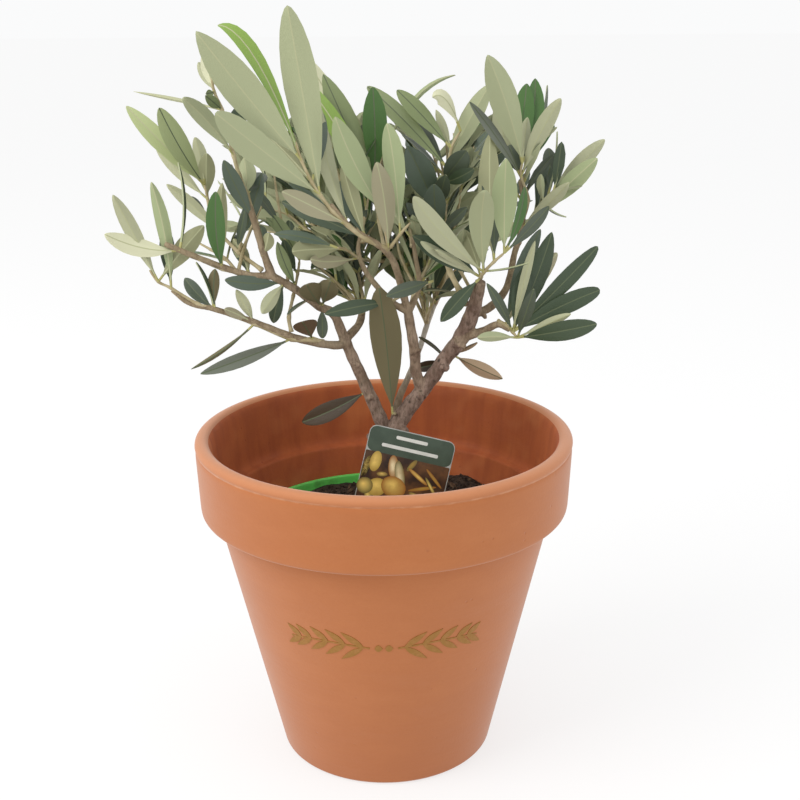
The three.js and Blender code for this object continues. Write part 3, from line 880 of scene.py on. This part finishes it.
def tube(line, radii, sides):
    """A closed round tube of changing radius along a line: its points and its faces."""
    line = np.asarray(line, float)
    along = np.gradient(line, axis=0)
    along /= np.linalg.norm(along, axis=1)[:, None]
    across = np.cross(along[0], (0.3, 0.9, 0.2))
    angles = np.linspace(0, 2 * math.pi, sides, endpoint=False)
    points = []
    for centre, direction, radius in zip(line, along, radii):
        across = across - direction * (across @ direction)
        across /= np.linalg.norm(across)
        lift = np.cross(direction, across)
        points += [centre + radius * (math.cos(a) * across + math.sin(a) * lift) for a in angles]
    last = (len(line) - 1) * sides
    faces = [tuple(range(sides - 1, -1, -1)), tuple(range(last, last + sides))]
    for i in range(0, last, sides):
        for j in range(sides):
            k = (j + 1) % sides
            faces.append((i + j, i + k, i + sides + k, i + sides + j))
    return points, faces


def gathered(shapes):
    """Several (points, faces) shapes as one."""
    points, faces = [], []
    for shape_points, shape_faces in shapes:
        start = len(points)
        points.extend(shape_points)
        faces.extend(tuple(start + i for i in face) for face in shape_faces)
    return points, faces


wood_shapes = []
wood_line, wood_radius, wood_silver = [], [], []
for name, (points, given_radii) in limbs.items():
    line, share = through(points, 1.1)
    radii = np.interp(share, np.linspace(0, 1, len(given_radii)), given_radii)
    if name == "trunk":
        radii = radii + 3.6 * np.exp((line[0, 2] - line[:, 2]) / 5.5)
    else:
        radii = radii * (1 + 0.12 * np.exp(-((share * len(line) / 3.5) ** 2)))
    radii = radii * (1 + 0.04 * np.sin(np.arange(len(line)) * 0.9 + len(name)))
    wood_shapes.append(tube(line, radii, 16 if radii[0] > 3 else 10))
    wood_line.append(line)
    wood_radius.append(radii)
    wood_silver.append(np.clip((line[:, 2] - 166) / 12, 0, 1) * (name == "back_bough"))
for foot, out, radius in stubs:
    start = np.array(foot, float) - np.array(out) * 0.6
    line = start + np.outer(np.linspace(0, 1.5, 5), out)
    wood_shapes.append(tube(line, radius * np.array([1.5, 1.3, 1.0, 0.9, 0.62]), 10))
wood_line = np.vstack(wood_line)
wood_radius = np.concatenate(wood_radius)
wood_silver = np.concatenate(wood_silver)

def bark_finish():
    """Old bark streaked, pitted and lichened, young bark tan and plainer, a silvery back bough."""
    finish, tree, shader = new_finish("olive_bark", 0.85)
    place = own_place(tree)
    streaks = noise_node(tree, squeezed(tree, place, 1, 1, 0.35), 900, 5, 0.65)
    patches = noise_node(tree, squeezed(tree, place, 1, 1, 0.6), 210, 6, 0.68)
    lichen = ramp(tree, noise_node(tree, place, 60, 3), 0.55, 0.7, 0, 0.5)
    pores = tree.nodes.new("ShaderNodeTexVoronoi")
    pores.inputs["Scale"].default_value = 420
    tree.links.new(squeezed(tree, place, 1, 1, 0.6), pores.inputs["Vector"])
    some = ramp(tree, noise_node(tree, place, 170, 2), 0.48, 0.56)
    pits = maths(tree, "MULTIPLY", ramp(tree, pores.outputs["Distance"], 0.14, 0.38, 1, 0), some)
    old = blended(tree, ramp(tree, patches, 0.36, 0.64), (0.158, 0.097, 0.069), (0.318, 0.224, 0.173))
    old = blended(tree, ramp(tree, streaks, 0.52, 0.38, 0, 0.7), old, (0.085, 0.052, 0.032))
    old = blended(tree, lichen, old, (0.39, 0.325, 0.24))
    old = blended(tree, maths(tree, "MULTIPLY", pits, 0.85), old, (0.03, 0.02, 0.014))
    young = blended(tree, ramp(tree, patches, 0.35, 0.65), (0.215, 0.155, 0.088), (0.35, 0.275, 0.17))
    young = blended(tree, ramp(tree, streaks, 0.52, 0.36, 0, 0.5), young, (0.13, 0.09, 0.055))
    tone = blended(tree, attribute(tree, "youth", "Fac"), old, young)
    silvered = ramp(tree, patches, 0.3, 0.55, 0.4, 0.85)
    silvered = maths(tree, "MULTIPLY", attribute(tree, "silver", "Fac"), silvered)
    tone = blended(tree, silvered, tone, (0.47, 0.43, 0.37))
    tree.links.new(tone, shader.inputs["Base Color"])
    height = maths(tree, "ADD", streaks, maths(tree, "MULTIPLY", patches, 0.5))
    height = maths(tree, "SUBTRACT", height, maths(tree, "MULTIPLY", pits, 0.5))
    add_relief(tree, shader, height, 0.9, 0.0006)
    return finish


def values_of(mesh, what):
    """The place or the normal of each point of a mesh, one to a row."""
    values = np.empty(len(mesh.vertices) * 3)
    mesh.vertices.foreach_get(what, values)
    return values.reshape(-1, 3)


bark = bark_finish()
wood_blank = plain_object("wood_blank", *gathered(wood_shapes), [bark])
fuse = wood_blank.modifiers.new("fuse", "REMESH")
fuse.mode = "VOXEL"
fuse.voxel_size = 0.00042
fuse.use_smooth_shade = True
soften = wood_blank.modifiers.new("soften", "SMOOTH")
soften.factor = 0.5
soften.iterations = 4
fused = wood_blank.evaluated_get(bpy.context.evaluated_depsgraph_get())
wood_mesh = bpy.data.meshes.new_from_object(fused)
bpy.data.objects.remove(wood_blank)

# Each point of the bark takes its limb's radius and silver from the nearest point of a middle
# line, then moves in or out along its normal by lumps, plates and cracks.
wood_place = values_of(wood_mesh, "co") / MM
outward = values_of(wood_mesh, "normal")
batch = 4000
nearest = []
for start in range(0, len(wood_place), batch):
    gap = np.linalg.norm(wood_place[start : start + batch, None, :] - wood_line[None], axis=2)
    nearest.append(gap.argmin(1))
nearest = np.concatenate(nearest)
local_radius, silver = wood_radius[nearest], wood_silver[nearest]
relief = np.empty(len(wood_place))
for i, (x, y, z) in enumerate(wood_place):
    lumps = noise.noise((x * 0.2, y * 0.2, z * 0.13))
    plates = noise.noise((x * 0.8 + 9, y * 0.8, z * 0.36))
    crack = abs(noise.noise((x * 1.1, y * 1.1 + 5, z * 0.4)))
    relief[i] = 0.038 * lumps + 0.024 * plates - 0.012 * max(0.0, 0.16 - crack) / 0.16
wood_place += outward * (relief * np.clip(local_radius, 1.0, 7.0) * 1.15)[:, None]
wood_mesh.vertices.foreach_set("co", (wood_place * MM).ravel())
for name, values in (("youth", np.clip((3.2 - local_radius) / 1.9, 0, 1)), ("silver", silver)):
    held = wood_mesh.attributes.new(name, "FLOAT", "POINT")
    held.data.foreach_set("value", values)
wood_mesh.update()
if not wood_mesh.materials:
    wood_mesh.materials.append(bark)
trunk_and_boughs = bpy.data.objects.new("trunk_and_boughs_bark", wood_mesh)
scene.collection.objects.link(trunk_and_boughs)
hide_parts(*limbs)
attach(trunk_and_boughs, "root")

# ---- leaves ----------------------------------------------------------------------------------
# Leathery lance-shaped olive leaves in opposite pairs: dull grey-green above, felted silver-sage
# below, a pale midrib proud of the underside, edges a little rolled, and a short yellow stalk.
top_tones = {
    "grey": (0.062, 0.082, 0.05),
    "deep": (0.04, 0.064, 0.03),
    "teal": (0.075, 0.105, 0.07),
    "olive": (0.185, 0.228, 0.095),
    "fresh": (0.4, 0.455, 0.215),
    "vivid": (0.05, 0.125, 0.022),
    "young": (0.215, 0.335, 0.06),
    "umber": (0.05, 0.03, 0.011),
    # A grey-green made lighter to stand in for the glint of a leaf's gloss: a painted highlight.
    "ash": (0.13, 0.146, 0.108),
    "meadow": (0.3, 0.35, 0.16),
}
under_tones = {
    "sage": (0.365, 0.393, 0.23),
    "light": (0.325, 0.375, 0.2),
    "pale": (0.41, 0.42, 0.265),
    "cream": (0.6, 0.6, 0.41),
    "khaki": (0.3, 0.305, 0.17),
    "tan": (0.34, 0.315, 0.2),
    "dun": (0.15, 0.13, 0.064),
    "brown": (0.13, 0.085, 0.045),
    "russet": (0.43, 0.31, 0.195),
}
other_tones = {
    "rib": (0.09, 0.115, 0.055),
    "under_rib": (0.41, 0.42, 0.24),
    "stalk": (0.38, 0.36, 0.13),
}
# The tone of the midrib under a leaf of these tones; under any other it is under_rib.
rib_below = {"dun": "rib", "brown": "rib", "umber": "rib", "russet": "dun"}


def leaf_grain_effect():
    """Relief of a leaf's skin: fine net veins with a soft mottle."""
    tree, given, result = effect(
        "leaf_grain", [("Fineness", "NodeSocketFloat", 1500.0)], [("Height", "NodeSocketFloat")]
    )
    place = own_place(tree)
    veins = tree.nodes.new("ShaderNodeTexVoronoi")
    veins.feature = "DISTANCE_TO_EDGE"
    tree.links.new(place, veins.inputs["Vector"])
    tree.links.new(given.outputs["Fineness"], veins.inputs["Scale"])
    mottle = maths(tree, "MULTIPLY", noise_node(tree, place, 500, 3), 0.8)
    height = maths(tree, "ADD", ramp(tree, veins.outputs["Distance"], 0, 0.2), mottle)
    tree.links.new(height, result.inputs["Height"])
    return tree


leaf_grain = leaf_grain_effect()
leaf_finishes, leaf_slots = [], {}
for tones, roughness in ((top_tones, 0.42), (under_tones, 0.8), (other_tones, 0.55)):
    for name, colour in tones.items():
        finish, tree, shader = new_finish("leaf_" + name, roughness)
        shader.inputs["Base Color"].default_value = (*colour, 1)
        skin = tree.nodes.new("ShaderNodeGroup")
        skin.node_tree = leaf_grain
        add_relief(tree, shader, skin.outputs["Height"], 0.25, 0.0002)
        leaf_slots[name] = len(leaf_finishes)
        leaf_finishes.append(finish)

toward_front = np.array((0.0, -0.985, 0.17))
leaf_points, leaf_faces, leaf_face_slots = [], [], []


def unit(v):
    """The vector at a length of 1."""
    return v / max(np.linalg.norm(v), 1e-9)


def half_widths(v, width, blunt):
    """How far a blade's edge lies from its midrib, v going from 0 at its foot to 1 at its tip."""
    widest = 1 / (1 + blunt)
    half = 0.5 * width * (v / widest) * ((1 - v) / (1 - widest)) ** blunt
    half = half * 0.5 + 0.25 * width * np.sin(math.pi * v**1.1) ** 0.75
    return np.maximum(half, 0.5 * (1 - v))


def strip_slots(tone):
    """The finishes of the strips round a leaf: five above, then five below, a midrib amid each."""
    above = tone if tone in top_tones else "grey"
    above_rib = "under_rib" if tone in ("young", "fresh") else "rib"
    plain_below = "dun" if tone == "umber" else "sage"
    below = tone if tone in under_tones else plain_below
    below_rib = rib_below.get(tone, "under_rib")
    strips = (above, above, above_rib, above, above, below, below, below_rib, below, below)
    return [leaf_slots[name] for name in strips]


def leaf_section(middle, along, level, top, half, fold, thinner):
    """The ten points round a leaf at one place, six above and four below, and the way it faces."""
    side = unit(level - along * (level @ along))
    lift = np.cross(side, along)
    lift = lift if lift @ top > 0 else -lift
    rib = min(0.24 / max(half, 0.3), 0.7)
    s = np.array([-1, -0.5 - rib / 2, -rib, rib, 0.5 + rib / 2, 1])
    thick = np.array([0, 0.3, 0.45, 0.45, 0.3, 0])
    ridge = np.array([0, 0, 0.5, 0.5, 0, 0])
    above = half * (fold * np.abs(s) - 0.16 * fold * np.abs(s) ** 3 - 0.1 * s**4)
    below = above - thick - ridge * thinner
    row = [middle + side * half * a + lift * b for a, b in zip(s, above)]
    row += [middle + side * half * s[j] + lift * below[j] for j in (4, 3, 2, 1)]
    return row, lift


def add_leaf(base, tip, width, roll, tone, facing, rng, bow=0.0, blunter=0.0, stations=14):
    """One closed leaf from base to tip, in mm. With roll 0 its top side looks along `facing`."""
    base, tip = np.array(base, float), np.array(tip, float)
    length = np.linalg.norm(tip - base)
    direction = unit(tip - base)
    flat = unit(np.cross(direction, facing))
    up = np.cross(flat, direction)
    cos, sin = math.cos(math.radians(roll)), math.sin(math.radians(roll))
    top, level = cos * up + sin * flat, cos * flat - sin * up
    fold = rng.uniform(0.12, 0.42)
    arch = rng.uniform(0.02, 0.075)
    blunt = rng.uniform(0.5, 0.78) - blunter
    sway = rng.uniform(-0.035, 0.035)
    twist = rng.uniform(-0.22, 0.22)
    # u runs along the whole leaf from 0 to 1, and v along its blade alone, after the stalk.
    stalk = min(0.12, 3.4 / length)
    v = np.concatenate([[0], 0.5 - 0.5 * np.cos(np.linspace(0, math.pi, stations))])
    u = np.concatenate([[0], stalk + (1 - stalk) * v[1:]])
    half = half_widths(v, width, blunt)
    rise = 4 * u * (1 - u)
    middle = base + np.outer(u * length, direction) + np.outer(rise * length * arch, top)
    middle += np.outer(rise * length * sway, level) + np.outer(rise * bow, (0, 0, 1))
    along = np.gradient(middle, axis=0)
    along /= np.linalg.norm(along, axis=1)[:, None]
    rows = []
    for i in range(stations):
        turn = twist * (u[i] - 0.3)
        turned_level = math.cos(turn) * level + math.sin(turn) * top
        row, lift = leaf_section(middle[i], along[i], turned_level, top, half[i], fold, 1 - 0.7 * u[i])
        rows.append(row)
    start = len(leaf_points)
    around = len(rows[0])
    for row in rows:
        leaf_points.extend(row)
    leaf_points.append(middle[-1])
    strips = strip_slots(tone)
    flip = np.dot(np.cross(rows[2][5] - rows[2][0], along[2]), lift) > 0
    for i in range(stations):
        for j in range(around):
            k = (j + 1) % around
            a = start + i * around
            if i == stations - 1:
                face = (a + j, a + k, start + stations * around)
            else:
                face = (a + j, a + k, a + around + k, a + around + j)
            leaf_faces.append(face if flip else face[::-1])
            leaf_face_slots.append(leaf_slots["stalk"] if i == 0 else strips[j])
    cap = tuple(start + j for j in range(around))
    leaf_faces.append(cap[::-1] if flip else cap)
    leaf_face_slots.append(leaf_slots["stalk"])


# Each shoot is its joints in mm, in order from the bough, and then its leaves: the joint that a
# leaf grows from, where its tip is, its width, its roll and its tone; some go on with how far
# they bow upwards and how much blunter than others their tips are.
shoots = {
    "leading": (
        [(3, -22, 238), (-6, -27, 243), (-13, -30, 249), (-19, -32, 255), (-24, -33, 262),
         (-27, -34, 267), (-31, -34, 276), (-33, -34, 283)],
        [
            (4, (-34, -40, 334), 14, 180, "sage"), (6, (-67, -52, 325), 15, 168, "sage"),
            (6, (-62, -30, 327), 7, 20, "young", 13), (4, (-60, -62, 296), 13, 195, "sage"),
            (2, (-38, -46, 265), 8, 200, "tan"), (1, (-41, -16, 257), 7, -20, "deep"),
            (5, (-23, -18, 293), 6, 30, "teal"), (2, (-26, -22, 301), 8, 200, "pale"),
            (1, (-16, -12, 266), 8, 10, "teal"), (1, (-15, -26, 273), 7, 160, "khaki"),
            (3, (-37, -26, 266), 4, 40, "teal"), (5, (-47, -16, 285), 7, 190, "khaki"),
        ],
    ),
    "inner_up": (
        [(3, -22, 238), (2, -25, 246), (1, -28, 254), (0, -30, 261)],
        [(2, (-17, -40, 293), 11, 185, "light"), (0, (-1, -44, 276), 9, 180, "tan")],
    ),
    "stub": ([(4, -23, 239), (8, -27, 245), (12, -30, 250)], [(1, (3, -22, 289), 9, 170, "light", 4)]),
    "top": (
        [(1, -10, 237), (-1, -8, 247), (-2, -4, 256), (-3, 0, 263)],
        [
            (3, (-3, 0, 302), 10.5, 0, "vivid"), (2, (-24, 8, 307), 11, 10, "olive"),
            (3, (-16, 14, 294), 8, 170, "khaki"), (3, (-8, 8, 286), 8, 0, "deep"),
            (2, (-32, 6, 305), 8, 0, "young"), (3, (-32, 16, 314), 9, 180, "cream"),
        ],
    ),
    "up_right": (
        [(36, -6, 211), (33, -10, 218), (29, -12, 226), (27, -10, 232), (25, -4, 241), (23, 0, 251),
         (26, 2, 262), (28, 4, 268), (30, 6, 276), (32, 8, 280), (34, 8, 283)],
        [
            (8, (7, 14, 300), 8, 15, "olive", 1), (7, (-6, 26, 301), 8, 10, "olive"),
            (10, (22, 6, 297), 7, 200, "cream", 6), (7, (47, 16, 302), 9, 170, "sage"),
            (7, (14, 30, 287), 6, 10, "grey"), (8, (24, 22, 291), 4, 180, "pale"),
            (6, (36, -4, 276), 10, 20, "grey"), (6, (39, -8, 269), 6, 10, "deep"),
            (5, (11, -12, 279), 12, 0, "teal"), (4, (22, -18, 264), 9.5, -10, "teal"),
            (5, (27, -12, 267), 7, 0, "grey"), (4, (21, -10, 256), 6, 10, "grey"),
            (4, (36, -14, 254), 5, 0, "grey"),
        ],
    ),
    "rosette": (
        [(42, -13, 224), (43, -17, 227), (47, -20, 232), (51, -22, 236)],
        [
            (1, (13, -48, 263), 9, 190, "pale"), (1, (41, -44, 265), 10.5, 180, "sage"),
            (3, (50, -34, 276), 10.5, 178, "light"), (0, (13, -20, 243), 9, 0, "deep"),
            (0, (35, -10, 244), 6, 180, "khaki"), (1, (38, -12, 247), 6, 20, "grey"),
            (0, (22, -30, 239), 3, 180, "pale"), (0, (16, -34, 243), 4.5, 200, "pale"),
            (3, (71, -6, 253), 5.5, 10, "grey"), (3, (59, -20, 263), 5, 30, "vivid"),
            (1, (61, -24, 232), 2.5, 80, "sage"), (2, (46, 0, 283), 9.5, 180, "khaki"),
            (2, (45, 6, 272), 9, 20, "grey"), (0, (25, -14, 205), 7, 0, "deep"),
        ],
    ),
    "right_crown": (
        [(61, 13, 241), (64, 12, 253), (60, 6, 264), (60, 2, 270)],
        [
            (3, (43, -20, 315), 12, 180, "sage"), (2, (74, -10, 297.5), 7.5, 185, "pale"),
            (3, (62, 4, 289), 5, 180, "pale"), (3, (63, 20, 302), 9, 0, "vivid"),
            (3, (67, 24, 304), 9, 10, "vivid"), (2, (73, 28, 301), 4, 50, "sage"),
            (2, (49, 14, 293), 7.5, 180, "pale"), (2, (37, -4, 296), 5, 20, "ash"),
            (2, (55, 10, 277), 7, 0, "grey"),
        ],
    ),
    "outer_right": (
        [(61, 13, 241), (68, 12, 246), (70, 12, 252), (73, 12, 255)],
        [
            (1, (74, 18, 267), 6, 0, "teal"), (3, (74, 26, 274), 7, 10, "grey"),
            (3, (78, 28, 281), 2.5, 85, "deep"), (1, (91, -4, 272.5), 8.5, 165, "light"),
            (3, (96, 10, 279), 7, 190, "pale"), (0, (78, -14, 264), 6, 190, "pale"),
            (2, (82, 20, 244), 2, 80, "sage"),
        ],
    ),
    "low_right": (
        [(50, -9, 204), (53, -12, 203), (56, -13, 200), (58, -15, 198)],
        [
            (2, (92, -8, 236), 8, 5, "deep", 0, 0.2), (2, (93, -12, 218), 9, 0, "deep", 0, 0.22),
            (3, (79, -26, 211), 4, 185, "pale"), (3, (89, -32, 208), 9, 14, "deep", 0, 0.2),
            (2, (74, 6, 240), 9, 0, "deep"), (1, (70, 14, 240), 7, 0, "teal"),
            (1, (78, 16, 229), 9, 180, "tan"), (2, (65, -10, 239), 4, 180, "pale"),
            (3, (63, -28, 222), 6, 10, "grey"), (2, (62, -4, 227), 8, 0, "deep"),
            (2, (44, -20, 223), 4.5, 10, "grey"), (3, (40, -26, 201), 4.5, 180, "sage"),
        ],
    ),
    "low_trunk": (
        [(29, 1, 184), (31, 2, 186)],
        [
            (1, (54, 8, 173), 6.5, 180, "russet"), (1, (42, 0, 192), 3, 120, "russet"),
            (0, (14, 12, 177), 5, 0, "umber"),
            (0, (16, 8, 193), 3, 60, "umber"),
        ],
    ),
    "base_front": ([(5, -2, 160), (4, -5, 161)], [(1, (-1, -18, 221), 14, 180, "dun")]),
    "base_back": ([(-3, 0, 163), (-7, 8, 168)], [(1, (-38, 14, 151), 9, 10, "umber")]),
    "mid": (
        [(9, -8, 210), (4, -10, 213), (22, -10, 222)],
        [(1, (-24, -24, 211), 6.5, 0, "deep"), (2, (2, -26, 219), 6, 0, "grey")],
    ),
    "low_left": (
        [(-26, -9, 195), (-30, -12, 197), (-39, -14, 198), (-54, -19, 206), (-70, -22, 213),
         (-77, -24, 216), (-87, -26, 223), (-92, -27, 226), (-95, -28, 231)],
        [
            (1, (-33, -28, 209), 10.5, 180, "brown"), (2, (-75.4, -36, 188.8), 6.3, -10, "ash"),
            (3, (-81, -26, 188), 2.2, 180, "dun", -1), (7, (-73, -20, 248), 8.5, 180, "khaki"),
            (6, (-92, -28, 267), 6, 180, "light"), (6, (-90, -14, 246), 6.5, 0, "deep"),
            (7, (-106, -36, 263), 6.5, 185, "pale"), (4, (-76, -26, 234), 3, 70, "deep"),
            (4, (-84, -10, 224), 6, 0, "deep"), (4, (-68.4, -26, 231), 5, 190, "dun"),
            (3, (-61, -20, 221), 5, 170, "pale"), (3, (-65.5, -26, 214), 4, 200, "tan", 1),
        ],
    ),
    "outer_left": (
        [(-48, -18, 226), (-55, -20, 227), (-66, -22, 230), (-75, -26, 235), (-82, -28, 239)],
        [
            (4, (-111, -34, 247), 8, 190, "cream", -2), (4, (-82, -20, 274), 3, 80, "deep"),
            (2, (-65, -36, 264), 8, 0, "vivid"), (2, (-64, -24, 266), 6, 180, "khaki"),
            (1, (-63, -6, 240), 6, 180, "khaki"), (1, (-64, 4, 240), 5, 0, "deep"),
        ],
    ),
    "back_left": (
        [(-50, -19, 229), (-60, -12, 235), (-68, -4, 241), (-73, 0, 246), (-74, 0, 256), (-75, 0, 262)],
        [
            (2, (-92, 4, 262), 5.5, 185, "pale"), (3, (-83, 8, 256), 5, 0, "grey"),
            (4, (-97, 12, 277), 5.5, 175, "pale"), (5, (-90, -12, 295), 9.5, 10, "meadow"),
            (5, (-106, 0, 295), 8, 10, "fresh"), (4, (-74, 4, 275), 7.5, 180, "khaki"),
            (5, (-80, 12, 281), 6, 180, "pale"),
        ],
    ),
    "up_left": (
        [(-49, -18, 235), (-52, -18, 249), (-55, -18, 260), (-58, -17, 268), (-60, -16, 276),
         (-62, -15, 284), (-64, -14, 294), (-67, -13, 301), (-68, -12, 307)],
        [
            (4, (-77, -30, 300), 7.5, 180, "sage"), (6, (-106, 16, 300), 1.8, 180, "pale", -1),
            (7, (-74, -6, 312.5), 5, 180, "pale"), (7, (-71.6, -8, 316), 5.5, 180, "cream"),
            (7, (-70, -16, 300.5), 3, 0, "olive"), (6, (-70, -18, 300), 4.5, 0, "olive"),
            (5, (-55, -10, 296), 7, 0, "deep"), (1, (-63, -24, 275), 7, 0, "teal"),
            (2, (-57, -6, 274), 8, 180, "sage"), (2, (-50, 6, 266), 6.5, 0, "grey"),
            (2, (-60, -16, 239), 4, 10, "grey"), (0, (-46, -22, 245), 5.5, 160, "khaki"),
            (0, (-52, -2, 245), 5, 0, "deep"),
        ],
    ),
    "inner_left": (
        [(-26, -9, 211), (-31, -10, 215), (-36, -13, 220), (-41, -15, 223)],
        [
            (0, (-31, -24, 224), 9.5, 180, "dun"), (0, (-21, -22, 225), 9, 180, "dun"),
            (0, (-26, -10, 197), 5, 0, "grey"), (1, (-40, -20, 210), 3, 60, "tan"),
            (3, (-65, -24, 226), 6.5, -10, "teal"), (3, (-50, -26, 212), 6, 170, "pale"),
            (3, (-47, -10, 204), 6, 0, "deep"), (2, (-43, -20, 241), 5, 10, "olive"),
        ],
    ),
    "thin_stem": (
        [(-39, -14, 201), (-40, -12, 207), (-38, -10, 216), (-36, -8, 225), (-35, -8, 231)],
        [
            (4, (-46, -6, 250), 6, 0, "olive"), (4, (-37, 0, 244), 6, 170, "khaki"),
            (3, (-41, -14, 241), 5, 0, "deep"),
        ],
    ),
    "centre_left": (
        [(1, 26, 224), (-5, 10, 227), (-10, -4, 231), (-15, -16, 237), (-18, -24, 239)],
        [
            (4, (-44, -24, 245), 5, 20, "teal"), (3, (-36, -32, 239), 9, 180, "khaki"),
            (2, (-31, 4, 243), 6, 180, "khaki"), (2, (-29, -28, 235), 6, 185, "tan"),
            (1, (-27, 10, 250), 7, 0, "deep"),
        ],
    ),
    "behind_left": ([(-60, -12, 235), (-59, -12, 240)], [(1, (-49.5, -8, 268), 6.5, 0, "teal")]),
    "upper_blade": ([(-3, 0, 262), (0, 10, 272)], [(1, (33, 34, 305), 2.5, 180, "light", 8)]),
    "hanging": ([(36, -6, 211), (32, -6, 212)], [(1, (26.3, -8, 203.6), 3.5, 10, "teal")]),
}

twig_shapes = []


def add_twig(points, thick, thin):
    """A thin stem through the points, a little swollen at each joint."""
    line, share = through(points, 1.6)
    joints = np.array(points, float)
    gap = np.linalg.norm(line[:, None] - joints[None], axis=2).min(1)
    radii = (thick + (thin - thick) * share) * (1 + 0.35 * np.exp(-((gap / 1.3) ** 2)))
    radii[-1] *= 0.5
    twig_shapes.append(tube(line, radii, 7))


leaf_rng = np.random.default_rng(20)
for name, (joints, leaves) in shoots.items():
    if len(joints) > 2:
        add_twig(joints, 0.5 + 0.075 * len(joints), 0.5)
    else:
        add_twig([joints[0], (np.array(joints[0]) + joints[1]) / 2, joints[1]], 0.7, 0.5)
    for joint, tip, width, roll, tone, *bend in leaves:
        add_leaf(joints[joint], tip, width, roll, tone, toward_front, leaf_rng, *bend)

# ---- fine growth -----------------------------------------------------------------------------
# The shoots that fill the crown between and behind the leading ones. Each grows in short joints
# from a bough towards a mass of the frame, or the heart of the crown. Its leaves are in pairs,
# each square to the pair before, as an olive's are.
fill_rng = np.random.default_rng(57)
fill_tops = ["grey", "deep", "teal", "grey", "deep", "olive", "vivid"]
# The middle of the crown, behind the leading shoots, has no mass of its own but this box.
crown_low, crown_high = (-38.0, 22.0, 228.0), (40.0, 74.0, 284.0)
# Mass, where its shoots start from, how many shoots, joints to a shoot, and leaf length.
fillings = [
    ("whole_crown", (20, 28, 194), 5, 5, 34),
    ("whole_crown", (-12, 18, 212), 5, 5, 34),
    ("centre_leaves", (13, -5, 212), 6, 4, 30),
    ("centre_leaves", (20, 26, 196), 3, 4, 30),
    ("inner_leaves", (-9, 6, 204), 5, 4, 28),
    ("upper_middle_leaves", (-8, -5, 238), 3, 4, 26),
    ("top_middle_leaves", (13, -4, 236), 3, 4, 28),
    ("upper_right_leaves", (26, 24, 236), 5, 4, 30),
    ("right_crown_leaves", (61, 11, 246), 2, 4, 26),
    ("outer_right_leaves", (62, 12, 240), 2, 3, 24),
    ("front_right_leaves", (40, -8, 214), 2, 3, 24),
    ("inner_left_leaves", (-40, -14, 220), 3, 4, 26),
    ("left_middle_leaves", (-60, -20, 228), 2, 3, 24),
    ("back_left_leaves", (-28, 36, 232), 15, 5, 34),
    ("back_right_leaves", (30, 40, 212), 15, 5, 34),
    ("inner_leaves", (-24, 32, 227), 3, 5, 30),
    ("upper_right_leaves", (24, 34, 203), 4, 5, 32),
]


# Openings in the crown, seen from the front: left and right, then low and high, in mm where the
# line of sight crosses the trunk's plane. No leaf of the fine growth starts or ends in them.
eye = np.array(camera_at) / MM
openings = [
    (-200, -70, 250, 400),
    (-60, -45, 285, 400),
    (-10, 200, 293, 400),
    (14, 34, 268, 400),
    (78, 200, 232, 258),
    (-200, 200, 0, 204),
]


def clear(point):
    """Whether the point is seen outside every opening."""
    x, _, z = eye + (point - eye) * eye[1] / (eye[1] - point[1])
    return not any(left < x < right and low < z < high for left, right, low, high in openings)


def grow(start, low, high, joints, leaf_length, rng):
    """One shoot from start into the box low..high, with its opposite pairs of leaves."""
    aim = rng.uniform(low + 0.15 * (high - low), high - 0.1 * (high - low))
    heading = unit(aim - start + rng.normal(0, 4, 3))
    reach = np.linalg.norm(aim - start)
    points = [start]
    for i in range(joints):
        heading = unit(heading + rng.normal(0, 0.16, 3) + 0.06 * np.array((0, 0, 1.0)))
        points.append(points[-1] + heading * reach / joints)
    turn = rng.uniform(0, math.pi)
    pairs = []
    for i in range(1, joints + 1):
        along = unit(points[i] - points[i - 1])
        across = unit(np.cross(along, (0.2, 0.3, 0.9)))
        lift = np.cross(across, along)
        turn += math.pi / 2
        out = math.cos(turn) * across + math.sin(turn) * lift
        for side in (1, -1):
            lean = rng.uniform(0.55, 1.0)
            length = leaf_length * rng.uniform(0.7, 1.25) * (0.8 if i == joints else 1.0)
            direction = along * math.cos(lean) + side * out * math.sin(lean)
            tip = points[i] + unit(direction + 0.12 * np.array((0, 0, 1))) * length
            if np.any(tip < low - 6) or np.any(tip > high + 6) or not (clear(tip) and clear(points[i])):
                continue
            tone = fill_tops[rng.integers(len(fill_tops))]
            facing = np.array((0, 0, 0.75)) + 0.5 * along - 0.4 * side * out
            facing = unit(facing + rng.normal(0, 0.35, 3))
            width = length * rng.uniform(0.19, 0.26)
            pairs.append((points[i], tip, width, rng.uniform(-35, 35), tone, facing))
    if len(pairs) > joints / 2:
        add_twig(points, 0.85, 0.45)
        for leaf in pairs:
            add_leaf(*leaf, rng, stations=7)


for mass, start, count, joints, leaf_length in fillings:
    if mass == "whole_crown":
        low, high = np.array(crown_low), np.array(crown_high)
    else:
        low, high = [np.array(corner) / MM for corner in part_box(mass)]
    low[1] = max(low[1], min(3, high[1] - 8))
    for _ in range(count):
        grow(np.array(start, float), low, high, joints, leaf_length, fill_rng)

twig_skin = mottled_finish(
    "twig_skin", (0.33, 0.27, 0.14), (0.47, 0.4, 0.24), 160, 4, 0.38, 0.62, 1, 0.75
)
twigs = plain_object("twigs", *gathered(twig_shapes), [twig_skin])
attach(twigs, "root")

leaf_masses = [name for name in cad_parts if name.endswith(("_leaves", "_leaf"))]
leaves = plain_object("leaves", leaf_points, leaf_faces, leaf_finishes, leaf_face_slots)
leaves.data.set_sharp_from_angle(angle=math.radians(55))
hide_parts(*leaf_masses)
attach(leaves, "root")
